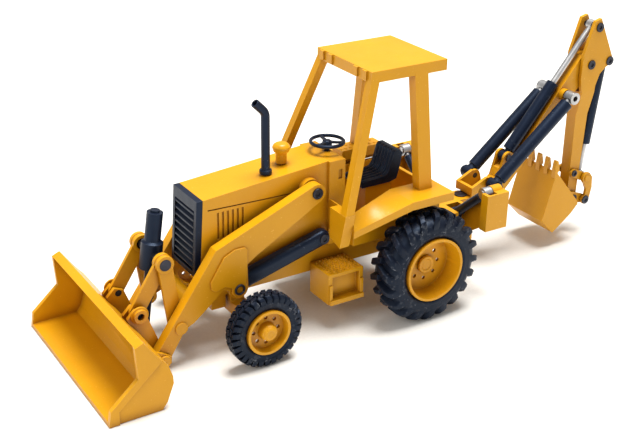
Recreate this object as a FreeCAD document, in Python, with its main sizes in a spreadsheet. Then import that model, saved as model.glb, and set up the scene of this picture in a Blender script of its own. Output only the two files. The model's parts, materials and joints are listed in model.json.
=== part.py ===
import FreeCAD, Part
import math
import os
import Sketcher

# Toy backhoe loader, 1:50 die-cast, in millimetres. +X points to the loader bucket, +Y to the
# machine's left, +Z up. The plan is laid out from the rear axle on the floor; every piece is then
# shifted by origin_shift, so that the origin is under the middle of the whole length.

SIZES = {
    # overall plan
    "wheel_base": 40.8,
    "nose_overhang": 7.5,
    "origin_shift": 4.75,
    # fits
    "running_fit": 0.05,
    "side_gap": 0.2,
    # wheels
    "rear_tyre_radius": 12.9,
    "rear_tyre_inside": 13.4,
    "rear_tyre_width": 7.8,
    "rear_rim_radius": 7.4,
    "rear_hub_depth": 3.9,
    "front_tyre_radius": 8.3,
    "front_tyre_inside": 14.9,
    "front_tyre_width": 4.1,
    "front_rim_radius": 5.0,
    "rim_wall": 0.7,
    "rim_proud": 0.4,
    "bolt_circle": 3.6,
    "bolt_hole_radius": 0.42,
    "front_bolt_circle": 2.9,
    "front_hub_radius": 2.0,
    "front_hub_height": 1.4,
    "rear_shaft_radius": 1.4,
    "front_shaft_radius": 1.1,
    "shaft_head": 0.5,
    # chassis
    "chassis_half_width": 4.4,
    "chassis_bottom": 11.0,
    "chassis_top": 17.5,
    "chassis_rear": -14.0,
    "nose_block_bottom": 8.0,
    "nose_block_length": 3.4,
    "axle_beam_length": 3.4,
    "axle_beam_bottom": 6.6,
    # bonnet, grille, cowl
    "bonnet_half_width": 5.5,
    "bonnet_rear": 18.4,
    "bonnet_rear_top": 37.0,
    "bonnet_front_top": 34.4,
    "bonnet_lean": 1.1,
    "grille_depth": 1.4,
    "grille_recess": 0.7,
    "grille_margin": 1.1,
    "louvre_height": 0.8,
    "exhaust_x": 32.1,
    "exhaust_y": 2.6,
    "exhaust_radius": 0.95,
    "exhaust_bore": 0.6,
    "exhaust_straight_top": 48.6,
    "exhaust_bend_radius": 2.2,
    "exhaust_tip": 2.6,
    "cleaner_x": 26.8,
    "cleaner_top": 41.0,
    "cleaner_neck_radius": 1.2,
    "cleaner_cap_radius": 2.0,
    "cowl_rear": 14.4,
    "cowl_half_width": 6.2,
    "bracket_front": 20.5,
    "bracket_top": 28.4,
    "bracket_bottom": 20.2,
    "bracket_outside": 16.0,
    "bracket_foot": 13.9,
    # cab tub, mudguards, seat
    "tub_half_width": 10.0,
    "tub_wall": 1.0,
    "tub_rear": -9.2,
    "tub_wall_top": 26.2,
    "floor_thickness": 1.2,
    "fender_outside": 18.5,
    "fender_top": 29.3,
    "fender_rear": -6.2,
    "fender_fold": 4.9,
    "fender_thickness": 1.2,
    "fender_lip": 1.9,
    "console_height": 2.3,
    "console_width": 4.2,
    "console_front": 5.2,
    "seat_half_width": 3.5,
    "seat_bottom": 27.5,
    "seat_front": 8.1,
    "seat_stand_half_width": 2.6,
    "step_front": 22.0,
    "step_rear": 12.9,
    "step_top": 13.3,
    "step_bottom": 5.9,
    "step_outside": 12.2,
    "step_recess": 1.4,
    # canopy
    "roof_front": 11.35,
    "roof_rear": -8.3,
    "roof_half_width": 10.6,
    "roof_top": 57.0,
    "roof_depth": 2.5,
    "roof_skin": 1.1,
    "post_foot_front_x": 19.4,
    "post_foot_front_y": 14.9,
    "post_foot_rear_x": -1.7,
    "post_foot_rear_y": 12.8,
    "post_front_size": 2.1,
    "post_rear_length": 3.4,
    "post_rear_width": 2.5,
    # steering
    "steering_x": 15.2,
    "steering_height": 39.1,
    "steering_radius": 4.05,
    "steering_rim_radius": 0.42,
    "steering_shaft_radius": 0.6,
    # loader pivots
    "arm_pivot_x": 23.4,
    "arm_pivot_z": 32.0,
    "lift_base_x": 21.0,
    "lift_base_z": 20.4,
    "lift_pin_x": 42.5,
    "lift_pin_z": 14.5,
    "bucket_pin_ahead": 12.3,
    "bucket_pin_z": 3.1,
    "lever_pin_ahead": 7.7,
    "lever_pin_z": 9.0,
    "trunnion_ahead": 9.44,
    "trunnion_z": 22.87,
    "link_pin_ahead": 15.7,
    "link_pin_z": 13.2,
    "cross_tube_ahead": 3.7,
    "cross_tube_z": 12.2,
    # loader pieces
    "arm_inside": 7.0,
    "arm_outside": 9.4,
    "arm_eye_radius": 2.0,
    "arm_end_radius": 1.9,
    "lift_lug_inside": 8.1,
    "lift_lug_radius": 2.2,
    "cross_tube_radius": 2.0,
    "loader_pin_radius": 0.7,
    "rivet_head": 1.15,
    "rivet_head_height": 0.3,
    "lift_barrel_inside": 5.65,
    "lift_barrel_outside": 8.65,
    "lift_barrel_height": 3.6,
    "lift_rod_radius": 0.75,
    "lift_rod_overlap": 18.5,
    "tilt_lever_inside": 5.9,
    "tilt_lever_outside": 6.7,
    "tilt_lever_radius": 1.6,
    "tilt_link_inside": 4.9,
    "tilt_link_outside": 5.7,
    "trunnion_radius": 0.9,
    "tilt_barrel_radius": 1.7,
    "tilt_collar_radius": 2.3,
    "tilt_barrel_above": 9.0,
    "tilt_barrel_below": 3.4,
    "tilt_rod_radius": 1.0,
    "tilt_rod_eye": 1.8,
    "tilt_stroke": 4.6,
    "bucket_half_width": 22.35,
    "bucket_side_wall": 1.0,
    "bucket_reach": 17.1,
    "ear_inner_inside": 3.8,
    "ear_inner_outside": 4.7,
    "ear_mid_inside": 5.9,
    "ear_mid_outside": 6.8,
    "ear_outer_inside": 9.6,
    "ear_outer_outside": 10.5,
    "link_eye_slack": 0.5,
    # swing bracket and backhoe pivots
    "swing_x": -23.6,
    "king_plate_radius": 2.6,
    "king_pin_radius": 1.1,
    "king_top": 17.8,
    "king_bottom": 8.5,
    "king_plate": 1.2,
    "swing_hub_radius": 2.0,
    "swing_inside": 2.3,
    "swing_outside": 3.1,
    "boom_foot_x": -30.5,
    "boom_foot_z": 14.5,
    "boom_base_x": -29.8,
    "boom_base_z": 20.7,
    "boom_eye_x": -52.4,
    "boom_eye_z": 39.1,
    "stick_pin_x": -60.05,
    "stick_pin_z": 45.65,
    "stick_base_x": -36.6,
    "stick_base_z": 25.2,
    "stick_top_x": -61.4,
    "stick_top_z": 54.9,
    "curl_base_x": -66.2,
    "curl_base_z": 45.75,
    "digger_pin_x": -59.8,
    "digger_pin_z": 9.8,
    "digger_link_x": -63.0,
    "digger_link_z": 8.9,
    "guide_x": -58.9,
    "guide_z": 16.8,
    "knee_x": -62.8,
    "knee_z": 15.0,
    # backhoe pieces
    "backhoe_pin_radius": 0.65,
    "boom_half_width": 1.75,
    "boom_foot_half_width": 2.1,
    "boom_boss_outside": 3.2,
    "boom_foot_radius": 2.5,
    "boom_end_radius": 2.5,
    "boom_ear_radius": 1.6,
    "boom_ear_gap": 1.0,
    "boom_barrel_y": 4.9,
    "boom_barrel_radius": 1.6,
    "boom_barrel_boss": 1.5,
    "boom_rod_radius": 0.85,
    "stick_outside": 2.8,
    "stick_cheek": 0.9,
    "stick_end_half_width": 1.6,
    "stick_barrel_radius": 1.5,
    "stick_rod_radius": 0.8,
    "curl_barrel_radius": 1.45,
    "curl_rod_radius": 0.75,
    "boom_stroke": 0.5,
    "stick_stroke": 10.8,
    "curl_stroke": 3.6,
    "guide_inside": 1.75,
    "guide_outside": 2.45,
    "link_inside": 2.6,
    "link_outside": 3.4,
    "digger_half_width": 6.5,
    "digger_side_wall": 0.8,
    "tooth_width": 1.3,
    # rear frame and stabilisers
    "frame_front_plate": -16.7,
    "frame_back_plate": -20.3,
    "frame_rear": -21.3,
    "frame_half_width": 8.0,
    "leg_front": -17.0,
    "leg_rear": -20.0,
    "leg_pin_y": 6.0,
    "leg_pin_z": 12.6,
    "leg_base_y": 5.2,
    "leg_base_z": 16.2,
    "leg_top_y": 15.6,
    "leg_top_z": 25.3,
    "leg_pin_radius": 0.7,
    "leg_eye_radius": 1.5,
    "leg_eye_play": 1.2,
    "leg_plate": 1.0,
    "leg_cylinder_x": -17.85,
    "leg_barrel_radius": 1.05,
    "leg_rod_radius": 0.6,
    "leg_rod_overlap": 9.5,
    "pad_front": -15.9,
    "pad_rear": -22.1,
    "pad_inside": 16.5,
    "pad_outside": 18.7,
    "pad_top": 26.0,
    "pad_bottom": 17.2,
}

# Outlines by hand, each as offsets from a pivot of its own piece, in the order they are joined.
OUTLINES = {
    "arm_top": [(0.6, 2.0), (24.2, -7.4)],
    "arm_under": [(17.0, -12.3), (15.0, -10.9), (3.1, -4.2), (-0.9, -1.8)],
    "arm_elbow": [(3.7, 0.7), (6.6, -1.9)],
    "arm_foot_front": [(0.9, 1.6)],
    "arm_foot_rear": [(-1.6, -1.0), (-5.5, 5.4), (-7.5, 6.3)],
    "loader_shell": [(11.0, 12.7), (9.2, 13.5), (5.8, 8.7), (4.2, 6.8), (3.3, 4.0), (3.2, 2.4),
                     (4.7, -1.5), (5.9, -3.0)],
    "loader_side": [(16.6, 0.4), (10.6, 5.8)],
    "loader_cavity": [(11.0, 12.8), (7.2, 8.2), (5.6, 6.2), (4.7, 3.8), (4.6, 2.7), (5.8, -0.5),
                      (6.8, -1.9)],
    "loader_ear": [(6.0, 9.6), (4.2, 11.4), (2.2, 10.6), (-0.9, 2.2), (-1.5, -0.9), (1.2, -1.5),
                   (4.4, -0.4)],
    "loader_outer_ear": [(4.6, 3.8), (0.2, 1.9), (-1.7, 0.6), (-1.6, -0.9), (0.6, -1.7), (5.4, -1.4)],
    "seat": [(0.0, 0.0), (0.1, 1.6), (-7.0, 2.3), (-8.8, 7.4), (-11.2, 7.5), (-9.5, 0.1)],
    "swing_side": [(0.8, 1.6), (5.3, -0.4), (5.3, -2.5), (3.8, -2.6), (3.2, -10.3), (1.4, -9.6),
                   (-1.6, -8.2), (-3.0, -5.5), (-1.6, 0.2)],
    "boom_back": [(-1.9, -1.7), (-4.5, 1.2), (-13.1, 10.5), (-26.1, 24.7)],
    "boom_end": [(-1.9, -1.7), (-1.7, 2.0), (2.4, 2.4)],
    "boom_top": [(-21.1, 26.2), (-8.3, 10.2), (-1.2, 4.4), (1.6, 1.8)],
    "boom_ear": [(-1.4, 0.9), (1.2, 1.1), (3.4, -6.2), (-2.8, -2.0)],
    "stick_head": [(-1.7, 11.4), (0.2, 10.9), (2.9, 2.6), (3.0, -3.6), (2.2, -6.9)],
    "stick_head_rear": [(-2.2, -5.8), (-3.3, -2.8), (-4.9, -1.5), (-7.5, 0.0)],
    "stick_foot": [(1.7, 7.6), (1.6, -0.6), (0.4, -1.6), (-1.4, -0.8), (-1.6, 7.2)],
    "digger_shell": [(11.1, 10.9), (14.5, -1.8), (10.4, -5.9), (4.7, -1.9), (2.5, 0.4), (3.0, 1.5)],
    "digger_cavity": [(10.3, 11.6), (13.4, -1.5), (10.3, -4.6), (5.0, -0.9), (3.9, 0.9), (3.2, 1.9)],
    "digger_ear": [(4.2, 2.6), (0.4, 1.7), (-3.3, 0.3), (-4.2, -1.1), (-3.4, -2.0), (0.6, -1.5),
                   (4.9, -1.7)],
    "knee_link": [(1.0, 0.9), (-0.9, 1.3), (-1.9, 0.0), (-2.2, -3.0), (-1.6, -6.0), (-0.9, -7.0),
                  (0.2, -6.6), (-0.2, -3.2), (0.9, -1.1)],
    "leg": [(8.3, 12.6), (10.4, 12.9), (10.5, 4.2), (8.0, 3.4), (1.0, -1.4), (-1.2, -1.0), (-1.2, 1.0)],
}


class Size:
    """A number together with the sheet expression that it comes from."""

    def __init__(self, value, text):
        self.value = value
        self.text = text

    def joined(self, other, value, sign):
        return Size(value, f"({self.text} {sign} {other.text})")

    def __add__(self, other):
        other = as_size(other)
        return self.joined(other, self.value + other.value, "+")

    def __sub__(self, other):
        other = as_size(other)
        return self.joined(other, self.value - other.value, "-")

    def __mul__(self, other):
        other = as_size(other)
        return self.joined(other, self.value * other.value, "*")

    def __truediv__(self, other):
        other = as_size(other)
        return self.joined(other, self.value / other.value, "/")

    def __radd__(self, other):
        return as_size(other) + self

    def __rsub__(self, other):
        return as_size(other) - self

    def __rmul__(self, other):
        return as_size(other) * self

    def __neg__(self):
        return Size(-self.value, f"(-1 * {self.text})")


def as_size(number):
    if isinstance(number, Size):
        return number
    return Size(float(number), f"({float(number):.6f})")


def length_of(across, up):
    return Size(math.hypot(across.value, up.value), f"hypot({across.text}; {up.text})")


def angle_of(across, up):
    """Direction in degrees, measured from the first axis towards the second."""
    return Size(math.degrees(math.atan2(up.value, across.value)), f"atan2({up.text}; {across.text})")


class Sheet:
    """The spreadsheet, one alias per size and two per outline corner."""

    def __init__(self, document):
        self.cells = document.addObject("Spreadsheet::Sheet", "sizes")
        self.row = 0
        self.known = {}
        for name, number in SIZES.items():
            self.add(name, number)
        for name, corners in OUTLINES.items():
            for count, (across, up) in enumerate(corners):
                self.add(f"{name}_across_{count}", across)
                self.add(f"{name}_up_{count}", up)
        document.recompute()

    def add(self, name, number):
        self.row += 1
        self.cells.set(f"A{self.row}", name)
        self.cells.set(f"B{self.row}", str(number))
        self.cells.setAlias(f"B{self.row}", name)
        self.known[name] = Size(float(number), f"sizes.{name}")

    def __getattr__(self, name):
        return self.known[name]

    def corners(self, name, start):
        """The named outline's corners, each measured from start."""
        count = len(OUTLINES[name])
        return [(start[0] + self.known[f"{name}_across_{n}"], start[1] + self.known[f"{name}_up_{n}"])
                for n in range(count)]


doc = FreeCAD.newDocument("backhoe_loader")
S = Sheet(doc)
NODES = []
SIDES = (("left", 1), ("right", -1))
FRONT_VIEW, TOP_VIEW, END_VIEW = "XZ_Plane", "XY_Plane", "YZ_Plane"


# ---------------------------------------------------------------- helpers
def bind(thing, name, number):
    """Set a property and tie it to the sheet."""
    number = as_size(number)
    thing.setExpression(name, number.text)


def new_body(label, place=None, turn=None, axis=(0, 1, 0)):
    """A body in the plan's frame, or at a pivot with its own X axis turned about an axis."""
    body = doc.addObject("PartDesign::Body", label)
    body.Label = label
    place = place or (as_size(0), as_size(0), as_size(0))
    angle = turn.value if turn is not None else 0
    spot = FreeCAD.Vector(*(number.value for number in place))
    body.Placement = FreeCAD.Placement(spot, FreeCAD.Rotation(FreeCAD.Vector(*axis), angle))
    for letter, number in zip("xyz", (place[0] - S.origin_shift, place[1], place[2])):
        bind(body, f"Placement.Base.{letter}", number)
    if turn is not None:
        bind(body, "Placement.Rotation.Angle", turn)
    NODES.append(body)
    return body


def new_sketch(body, plane, height):
    """A sketch on one of the body's own origin planes, moved along that plane's axis."""
    sketch = body.newObject("Sketcher::SketchObject", f"{body.Name}_sketch")
    origin = body.Origin.OriginFeatures
    sketch.AttachmentSupport = [next(item for item in origin if item.Role == plane), ""]
    sketch.MapMode = "FlatFace"
    along_normal = -height if plane == FRONT_VIEW else height
    bind(sketch, "AttachmentOffset.Base.z", along_normal)
    return sketch


def fix_point(rules, geometry, corner, point):
    for kind, number in zip(("DistanceX", "DistanceY"), point):
        number = as_size(number)
        rules.append((Sketcher.Constraint(kind, -1, 1, geometry, corner, number.value), number))


def apply_rules(sketch, rules):
    first = sketch.ConstraintCount
    sketch.addConstraint([rule for rule, _ in rules])
    for count, (_, number) in enumerate(rules):
        if number is not None:
            sketch.setExpression(f"Constraints[{first + count}]", number.text)


def draw_polygon(sketch, points):
    points = [(as_size(across), as_size(up)) for across, up in points]
    first = sketch.GeometryCount
    spots = [FreeCAD.Vector(across.value, up.value, 0) for across, up in points]
    rules = []
    for count, spot in enumerate(spots):
        sketch.addGeometry(Part.LineSegment(spot, spots[(count + 1) % len(spots)]))
    for count, point in enumerate(points):
        after = first + (count + 1) % len(spots)
        rules.append((Sketcher.Constraint("Coincident", first + count, 2, after, 1), None))
        fix_point(rules, first + count, 1, point)
    apply_rules(sketch, rules)


def draw_circle(sketch, centre, radius):
    centre = (as_size(centre[0]), as_size(centre[1]))
    radius = as_size(radius)
    spot = FreeCAD.Vector(centre[0].value, centre[1].value, 0)
    index = sketch.addGeometry(Part.Circle(spot, FreeCAD.Vector(0, 0, 1), radius.value))
    rules = []
    fix_point(rules, index, 3, centre)
    rules.append((Sketcher.Constraint("Radius", index, radius.value), radius))
    apply_rules(sketch, rules)


def extrude(body, plane, start, end, draw, cut=False):
    """Pad or pocket a drawn profile from start to end, measured along the plane's own axis."""
    start, end = as_size(start), as_size(end)
    towards_end = (plane != FRONT_VIEW) != cut
    sketch = new_sketch(body, plane, start if towards_end else end)
    draw(sketch)
    kind = "Pocket" if cut else "Pad"
    feature = body.newObject(f"PartDesign::{kind}", f"{body.Name}_{kind.lower()}")
    feature.Profile = sketch
    feature.Type = 0
    bind(feature, "Length", end - start)
    sketch.Visibility = False
    return feature


def plate(body, plane, points, start, end, cut=False):
    return extrude(body, plane, start, end, lambda sketch: draw_polygon(sketch, points), cut)


def disc(body, plane, centre, radius, start, end, cut=False):
    return extrude(body, plane, start, end, lambda sketch: draw_circle(sketch, centre, radius), cut)


def rectangle(left, right, bottom, top):
    return [(left, bottom), (right, bottom), (right, top), (left, top)]


def rectangle_about(across, up, wide, high):
    return rectangle(across - wide / 2, across + wide / 2, up - high / 2, up + high / 2)


def revolve(body, points):
    """Turn a profile of (radius, height along the axis) about the body's own Y axis."""
    sketch = new_sketch(body, TOP_VIEW, as_size(0))
    draw_polygon(sketch, points)
    feature = body.newObject("PartDesign::Revolution", f"{body.Name}_revolution")
    feature.Profile = sketch
    feature.ReferenceAxis = (sketch, ["V_Axis"])
    feature.Angle = 360.0
    return feature


def turn_profile(body, points):
    """Turn a profile of (place along X, radius) about the body's own X axis."""
    sketch = new_sketch(body, TOP_VIEW, as_size(0))
    draw_polygon(sketch, points)
    feature = body.newObject("PartDesign::Revolution", f"{body.Name}_revolution")
    feature.Profile = sketch
    feature.ReferenceAxis = (sketch, ["H_Axis"])
    feature.Angle = 360.0
    return feature


def loft(body, plane, sections):
    """Ruled loft through polygons, each given as (height, points)."""
    sketches = []
    for height, points in sections:
        sketch = new_sketch(body, plane, height)
        draw_polygon(sketch, points)
        sketches.append(sketch)
    feature = body.newObject("PartDesign::AdditiveLoft", f"{body.Name}_loft")
    feature.Profile = sketches[0]
    feature.Sections = sketches[1:]
    feature.Ruled = True
    return feature


def ring_of(body, feature, count):
    """Repeat a feature evenly about the body's own Y axis."""
    pattern = body.newObject("PartDesign::PolarPattern", f"{body.Name}_ring")
    origin = body.Origin.OriginFeatures
    pattern.Originals = [feature]
    pattern.Axis = (next(item for item in origin if item.Role == "Y_Axis"), [""])
    pattern.Angle = 360.0
    pattern.Occurrences = count
    body.Tip = pattern
    return pattern


def round_edges(body, radius, wanted):
    """Round the edges of the body so far that wanted picks."""
    doc.recompute()
    tip = body.Tip
    names = [f"Edge{count}" for count, edge in enumerate(tip.Shape.Edges, 1) if wanted(edge)]
    fillet = body.newObject("PartDesign::Fillet", f"{body.Name}_fillet")
    fillet.Base = (tip, names)
    bind(fillet, "Radius", radius)
    return fillet


def runs_along(edge, direction):
    if not isinstance(edge.Curve, Part.Line):
        return False
    return abs(abs(edge.Curve.Direction.dot(FreeCAD.Vector(*direction))) - 1) < 1e-6


def span(side, inner, outer):
    """Start and end along Y of something that lies on one side of the machine."""
    return (inner, outer) if side > 0 else (-outer, -inner)


def hole_radius(pin):
    return pin + S.running_fit


# ---------------------------------------------------------------- places
rear_axle = (as_size(0), S.rear_tyre_radius)
front_axle = (S.wheel_base, S.front_tyre_radius)
nose = S.wheel_base + S.nose_overhang
arm_pivot = (S.arm_pivot_x, S.arm_pivot_z)
lift_base = (S.lift_base_x, S.lift_base_z)
lift_pin = (S.lift_pin_x, S.lift_pin_z)
bucket_pin = (nose + S.bucket_pin_ahead, S.bucket_pin_z)
lever_pin = (nose + S.lever_pin_ahead, S.lever_pin_z)
trunnion = (nose + S.trunnion_ahead, S.trunnion_z)
link_pin = (nose + S.link_pin_ahead, S.link_pin_z)
cross_tube = (nose + S.cross_tube_ahead, S.cross_tube_z)
boom_foot = (S.boom_foot_x, S.boom_foot_z)
boom_base = (S.boom_base_x, S.boom_base_z)
boom_eye = (S.boom_eye_x, S.boom_eye_z)
stick_pin = (S.stick_pin_x, S.stick_pin_z)
stick_base = (S.stick_base_x, S.stick_base_z)
stick_top = (S.stick_top_x, S.stick_top_z)
curl_base = (S.curl_base_x, S.curl_base_z)
digger_pin = (S.digger_pin_x, S.digger_pin_z)
digger_link = (S.digger_link_x, S.digger_link_z)
guide_pin = (S.guide_x, S.guide_z)
knee = (S.knee_x, S.knee_z)
leg_pin = (S.leg_pin_y, S.leg_pin_z)
leg_base = (S.leg_base_y, S.leg_base_z)
leg_top = (S.leg_top_y, S.leg_top_z)


def between(start, end):
    """Distance and direction from one pivot to another in the side view."""
    across, up = end[0] - start[0], end[1] - start[1]
    return length_of(across, up), angle_of(across, up)


# ---------------------------------------------------------------- wheels
def rear_wheel(name, side):
    place = (rear_axle[0], side * S.rear_tyre_inside, rear_axle[1])
    wide, outer, rim = S.rear_tyre_width, S.rear_tyre_radius, S.rear_rim_radius
    tyre = new_body(f"rear_tyre_{name}", place)
    shoulder = 0.9
    revolve(tyre, [(rim, side * shoulder), (outer - 2.4, side * 0), (outer, side * shoulder),
                   (outer, side * (wide - shoulder)), (outer - 2.4, side * wide),
                   (rim, side * (wide - 0.3))])
    wheel = new_body(f"rear_rim_{name}", place)
    inner, wall = rim - S.rim_wall, S.rim_wall
    web = wide - S.rear_hub_depth
    bore = hole_radius(S.rear_shaft_radius)
    revolve(wheel, [(bore, side * (web - wall)), (inner, side * (web - wall)), (inner, side * shoulder),
                    (rim, side * shoulder), (rim, side * (wide + S.rim_proud)),
                    (inner + 0.1, side * (wide + S.rim_proud)), (inner - 0.5, side * web),
                    (bore, side * web)])
    start, end = span(side, web - wall, web)
    hole = disc(wheel, FRONT_VIEW, (S.bolt_circle, as_size(0)), S.bolt_hole_radius, start, end, cut=True)
    ring_of(wheel, hole, 8)


def front_wheel(name, side):
    place = (front_axle[0], side * S.front_tyre_inside, front_axle[1])
    wide, outer, rim = S.front_tyre_width, S.front_tyre_radius, S.front_rim_radius
    tyre = new_body(f"front_tyre_{name}", place)
    shoulder = 0.5
    revolve(tyre, [(rim, side * shoulder), (outer - 1.3, side * 0), (outer, side * shoulder),
                   (outer, side * (wide - shoulder)), (outer - 1.3, side * wide),
                   (rim, side * (wide - 0.2))])
    wheel = new_body(f"front_rim_{name}", place)
    inner, wall = rim - S.rim_wall, S.rim_wall
    web = wide - 1.3
    hub = S.front_hub_radius
    tall = web + S.front_hub_height
    bore = hole_radius(S.front_shaft_radius)
    revolve(wheel, [(bore, side * (web - wall)), (inner, side * (web - wall)), (inner, side * shoulder),
                    (rim, side * shoulder), (rim, side * (wide + S.rim_proud)),
                    (inner + 0.1, side * (wide + S.rim_proud)), (inner - 0.3, side * web),
                    (hub, side * web), (hub - 0.3, side * tall), (bore, side * tall)])
    start, end = span(side, web - wall, web)
    hole = disc(wheel, FRONT_VIEW, (S.front_bolt_circle, as_size(0)), S.bolt_hole_radius, start, end,
                cut=True)
    ring_of(wheel, hole, 8)


def rear_shaft():
    shaft = new_body("rear_axle_shaft", (rear_axle[0], as_size(0), rear_axle[1]))
    reach = S.rear_tyre_inside + S.rear_tyre_width - S.rear_hub_depth + S.side_gap
    disc(shaft, FRONT_VIEW, (as_size(0), as_size(0)), S.rear_shaft_radius, -reach, reach)
    for _, side in SIDES:
        start, end = span(side, reach, reach + S.shaft_head)
        disc(shaft, FRONT_VIEW, (as_size(0), as_size(0)), S.rear_shaft_radius + 0.5, start, end)


def front_axle_beam():
    beam = new_body("front_axle_beam", (front_axle[0], as_size(0), as_size(0)))
    half = S.axle_beam_length / 2
    inside = S.front_tyre_inside - 0.6
    plate(beam, FRONT_VIEW, rectangle(-half, half, S.axle_beam_bottom, S.chassis_bottom), -inside, inside)
    for _, side in SIDES:
        start, end = span(side, S.chassis_half_width + 1, inside + 1)
        low = S.axle_beam_bottom
        plate(beam, FRONT_VIEW, rectangle(-half, half, low + 3.1, S.chassis_bottom + 1), start, end,
              cut=True)
        web = S.front_tyre_inside + S.front_tyre_width - 1.3 + S.front_hub_height + S.side_gap
        centre = (as_size(0), front_axle[1])
        start, end = span(side, inside - 1, web)
        disc(beam, FRONT_VIEW, centre, S.front_shaft_radius, start, end)
        start, end = span(side, web, web + S.shaft_head)
        disc(beam, FRONT_VIEW, centre, S.front_shaft_radius + 0.4, start, end)


# ---------------------------------------------------------------- tractor
def chassis():
    body = new_body("chassis_frame")
    half = S.chassis_half_width
    front = nose - 1.8
    points = [(S.chassis_rear, S.chassis_bottom), (front - S.nose_block_length, S.chassis_bottom),
              (front - S.nose_block_length, S.nose_block_bottom), (front, S.nose_block_bottom),
              (front, S.chassis_top), (S.chassis_rear, S.chassis_top)]
    plate(body, FRONT_VIEW, points, -half, half)
    disc(body, FRONT_VIEW, rear_axle, hole_radius(S.rear_shaft_radius), -half, half, cut=True)


def rear_frame():
    """Stabiliser housing behind the cab, with the two plates that carry the swing pivot."""
    body = new_body("rear_frame")
    low, high = S.king_bottom, S.king_top
    half = S.frame_half_width
    plate(body, TOP_VIEW, rectangle(S.frame_front_plate, S.chassis_rear, -half, half), low, high)
    core = S.leg_base_y - 2.2
    plate(body, TOP_VIEW, rectangle(S.frame_rear, S.frame_front_plate, -core, core), low, high)
    plate(body, TOP_VIEW, rectangle(S.frame_rear, S.frame_back_plate, -half, half), low, high)
    for start, end in ((low, low + S.king_plate), (high - S.king_plate, high)):
        wide = S.king_plate_radius
        plate(body, TOP_VIEW, rectangle(S.swing_x, S.frame_rear, -wide, wide), start, end)
        disc(body, TOP_VIEW, (S.swing_x, as_size(0)), wide, start, end)
    disc(body, TOP_VIEW, (S.swing_x, as_size(0)), hole_radius(S.king_pin_radius), low, high, cut=True)
    for _, side in SIDES:
        for pin in (leg_pin, leg_base):
            centre = (side * pin[0], pin[1])
            disc(body, END_VIEW, centre, hole_radius(S.leg_pin_radius), S.frame_rear, S.chassis_rear,
                 cut=True)


def rear_frame_pins(body):
    """The four cross pins of the stabilisers and the upright king pin of the swing bracket."""
    head = S.rivet_head_height
    for _, side in SIDES:
        for pin in (leg_pin, leg_base):
            centre = (side * pin[0], pin[1])
            disc(body, END_VIEW, centre, S.leg_pin_radius, S.frame_rear - head, S.chassis_rear)
            disc(body, END_VIEW, centre, S.rivet_head, S.frame_rear - head, S.frame_rear)
    centre = (S.swing_x, as_size(0))
    disc(body, TOP_VIEW, centre, S.king_pin_radius, S.king_bottom - head, S.king_top + head)
    disc(body, TOP_VIEW, centre, S.king_pin_radius + 0.5, S.king_top, S.king_top + head)


def bonnet_front(height):
    """X of the bonnet's front face at a height: it leans forward towards the foot."""
    fall = S.bonnet_front_top - height
    return nose + S.bonnet_lean * fall / (S.bonnet_front_top - S.chassis_top)


def bonnet():
    body = new_body("engine_hood")
    half = S.bonnet_half_width
    points = [(S.bonnet_rear, S.chassis_top), (bonnet_front(S.chassis_top), S.chassis_top),
              (bonnet_front(S.bonnet_front_top), S.bonnet_front_top), (S.bonnet_rear, S.bonnet_rear_top)]
    plate(body, FRONT_VIEW, points, -half, half)
    slot_depth = 0.35
    for _, side in SIDES:
        start, end = span(side, half - slot_depth, half)
        for count in range(6):
            left = nose - 9.3 + count * 1.15
            plate(body, FRONT_VIEW, rectangle(left, left + 0.5, S.bonnet_front_top - 9.4,
                                              S.bonnet_front_top - 3.4), start, end, cut=True)
        crease = [(S.bonnet_rear + 1.2, S.bonnet_rear_top - 5.9), (nose - 1.0, S.bonnet_front_top - 2.6),
                  (nose - 1.0, S.bonnet_front_top - 2.3), (S.bonnet_rear + 1.2, S.bonnet_rear_top - 5.6)]
        plate(body, FRONT_VIEW, crease, start, end, cut=True)
    start = S.bonnet_half_width
    for _, side in SIDES:
        low, high = span(side, start, S.arm_inside - S.side_gap)
        disc(body, FRONT_VIEW, arm_pivot, S.arm_eye_radius + 0.3, low, high)
        low, high = span(side, start - 2, S.arm_inside)
        disc(body, FRONT_VIEW, arm_pivot, hole_radius(S.loader_pin_radius), low, high, cut=True)
        low, high = span(side, start - 2, start)
        disc(body, FRONT_VIEW, lift_base, hole_radius(S.loader_pin_radius), low, high, cut=True)


def grille():
    body = new_body("radiator_grille")
    half, depth = S.bonnet_half_width, S.grille_depth
    low, high = S.chassis_top, S.bonnet_front_top
    back_low, back_high = bonnet_front(low), bonnet_front(high)
    plate(body, FRONT_VIEW, [(back_low, low), (back_low + depth, low), (back_high + depth, high),
                             (back_high, high)], -half, half)
    sill, head = low + S.grille_margin, high - 2.4
    deep = depth - S.grille_recess
    window = half - S.grille_margin
    plate(body, FRONT_VIEW, [(bonnet_front(sill) + deep, sill), (bonnet_front(sill) + 3, sill),
                             (bonnet_front(head) + 3, head), (bonnet_front(head) + deep, head)],
          -window, window, cut=True)
    count = 9
    pitch = (head - sill) / count
    for number in range(count):
        base = sill + pitch * (number + 0.35)
        root, tip = bonnet_front(base) + deep - 0.1, bonnet_front(base) + depth - 0.1
        tall = S.louvre_height
        plate(body, FRONT_VIEW, [(root, base + 0.3), (tip, base), (tip, base + 0.4), (root, base + tall)],
              -window, window)


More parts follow.
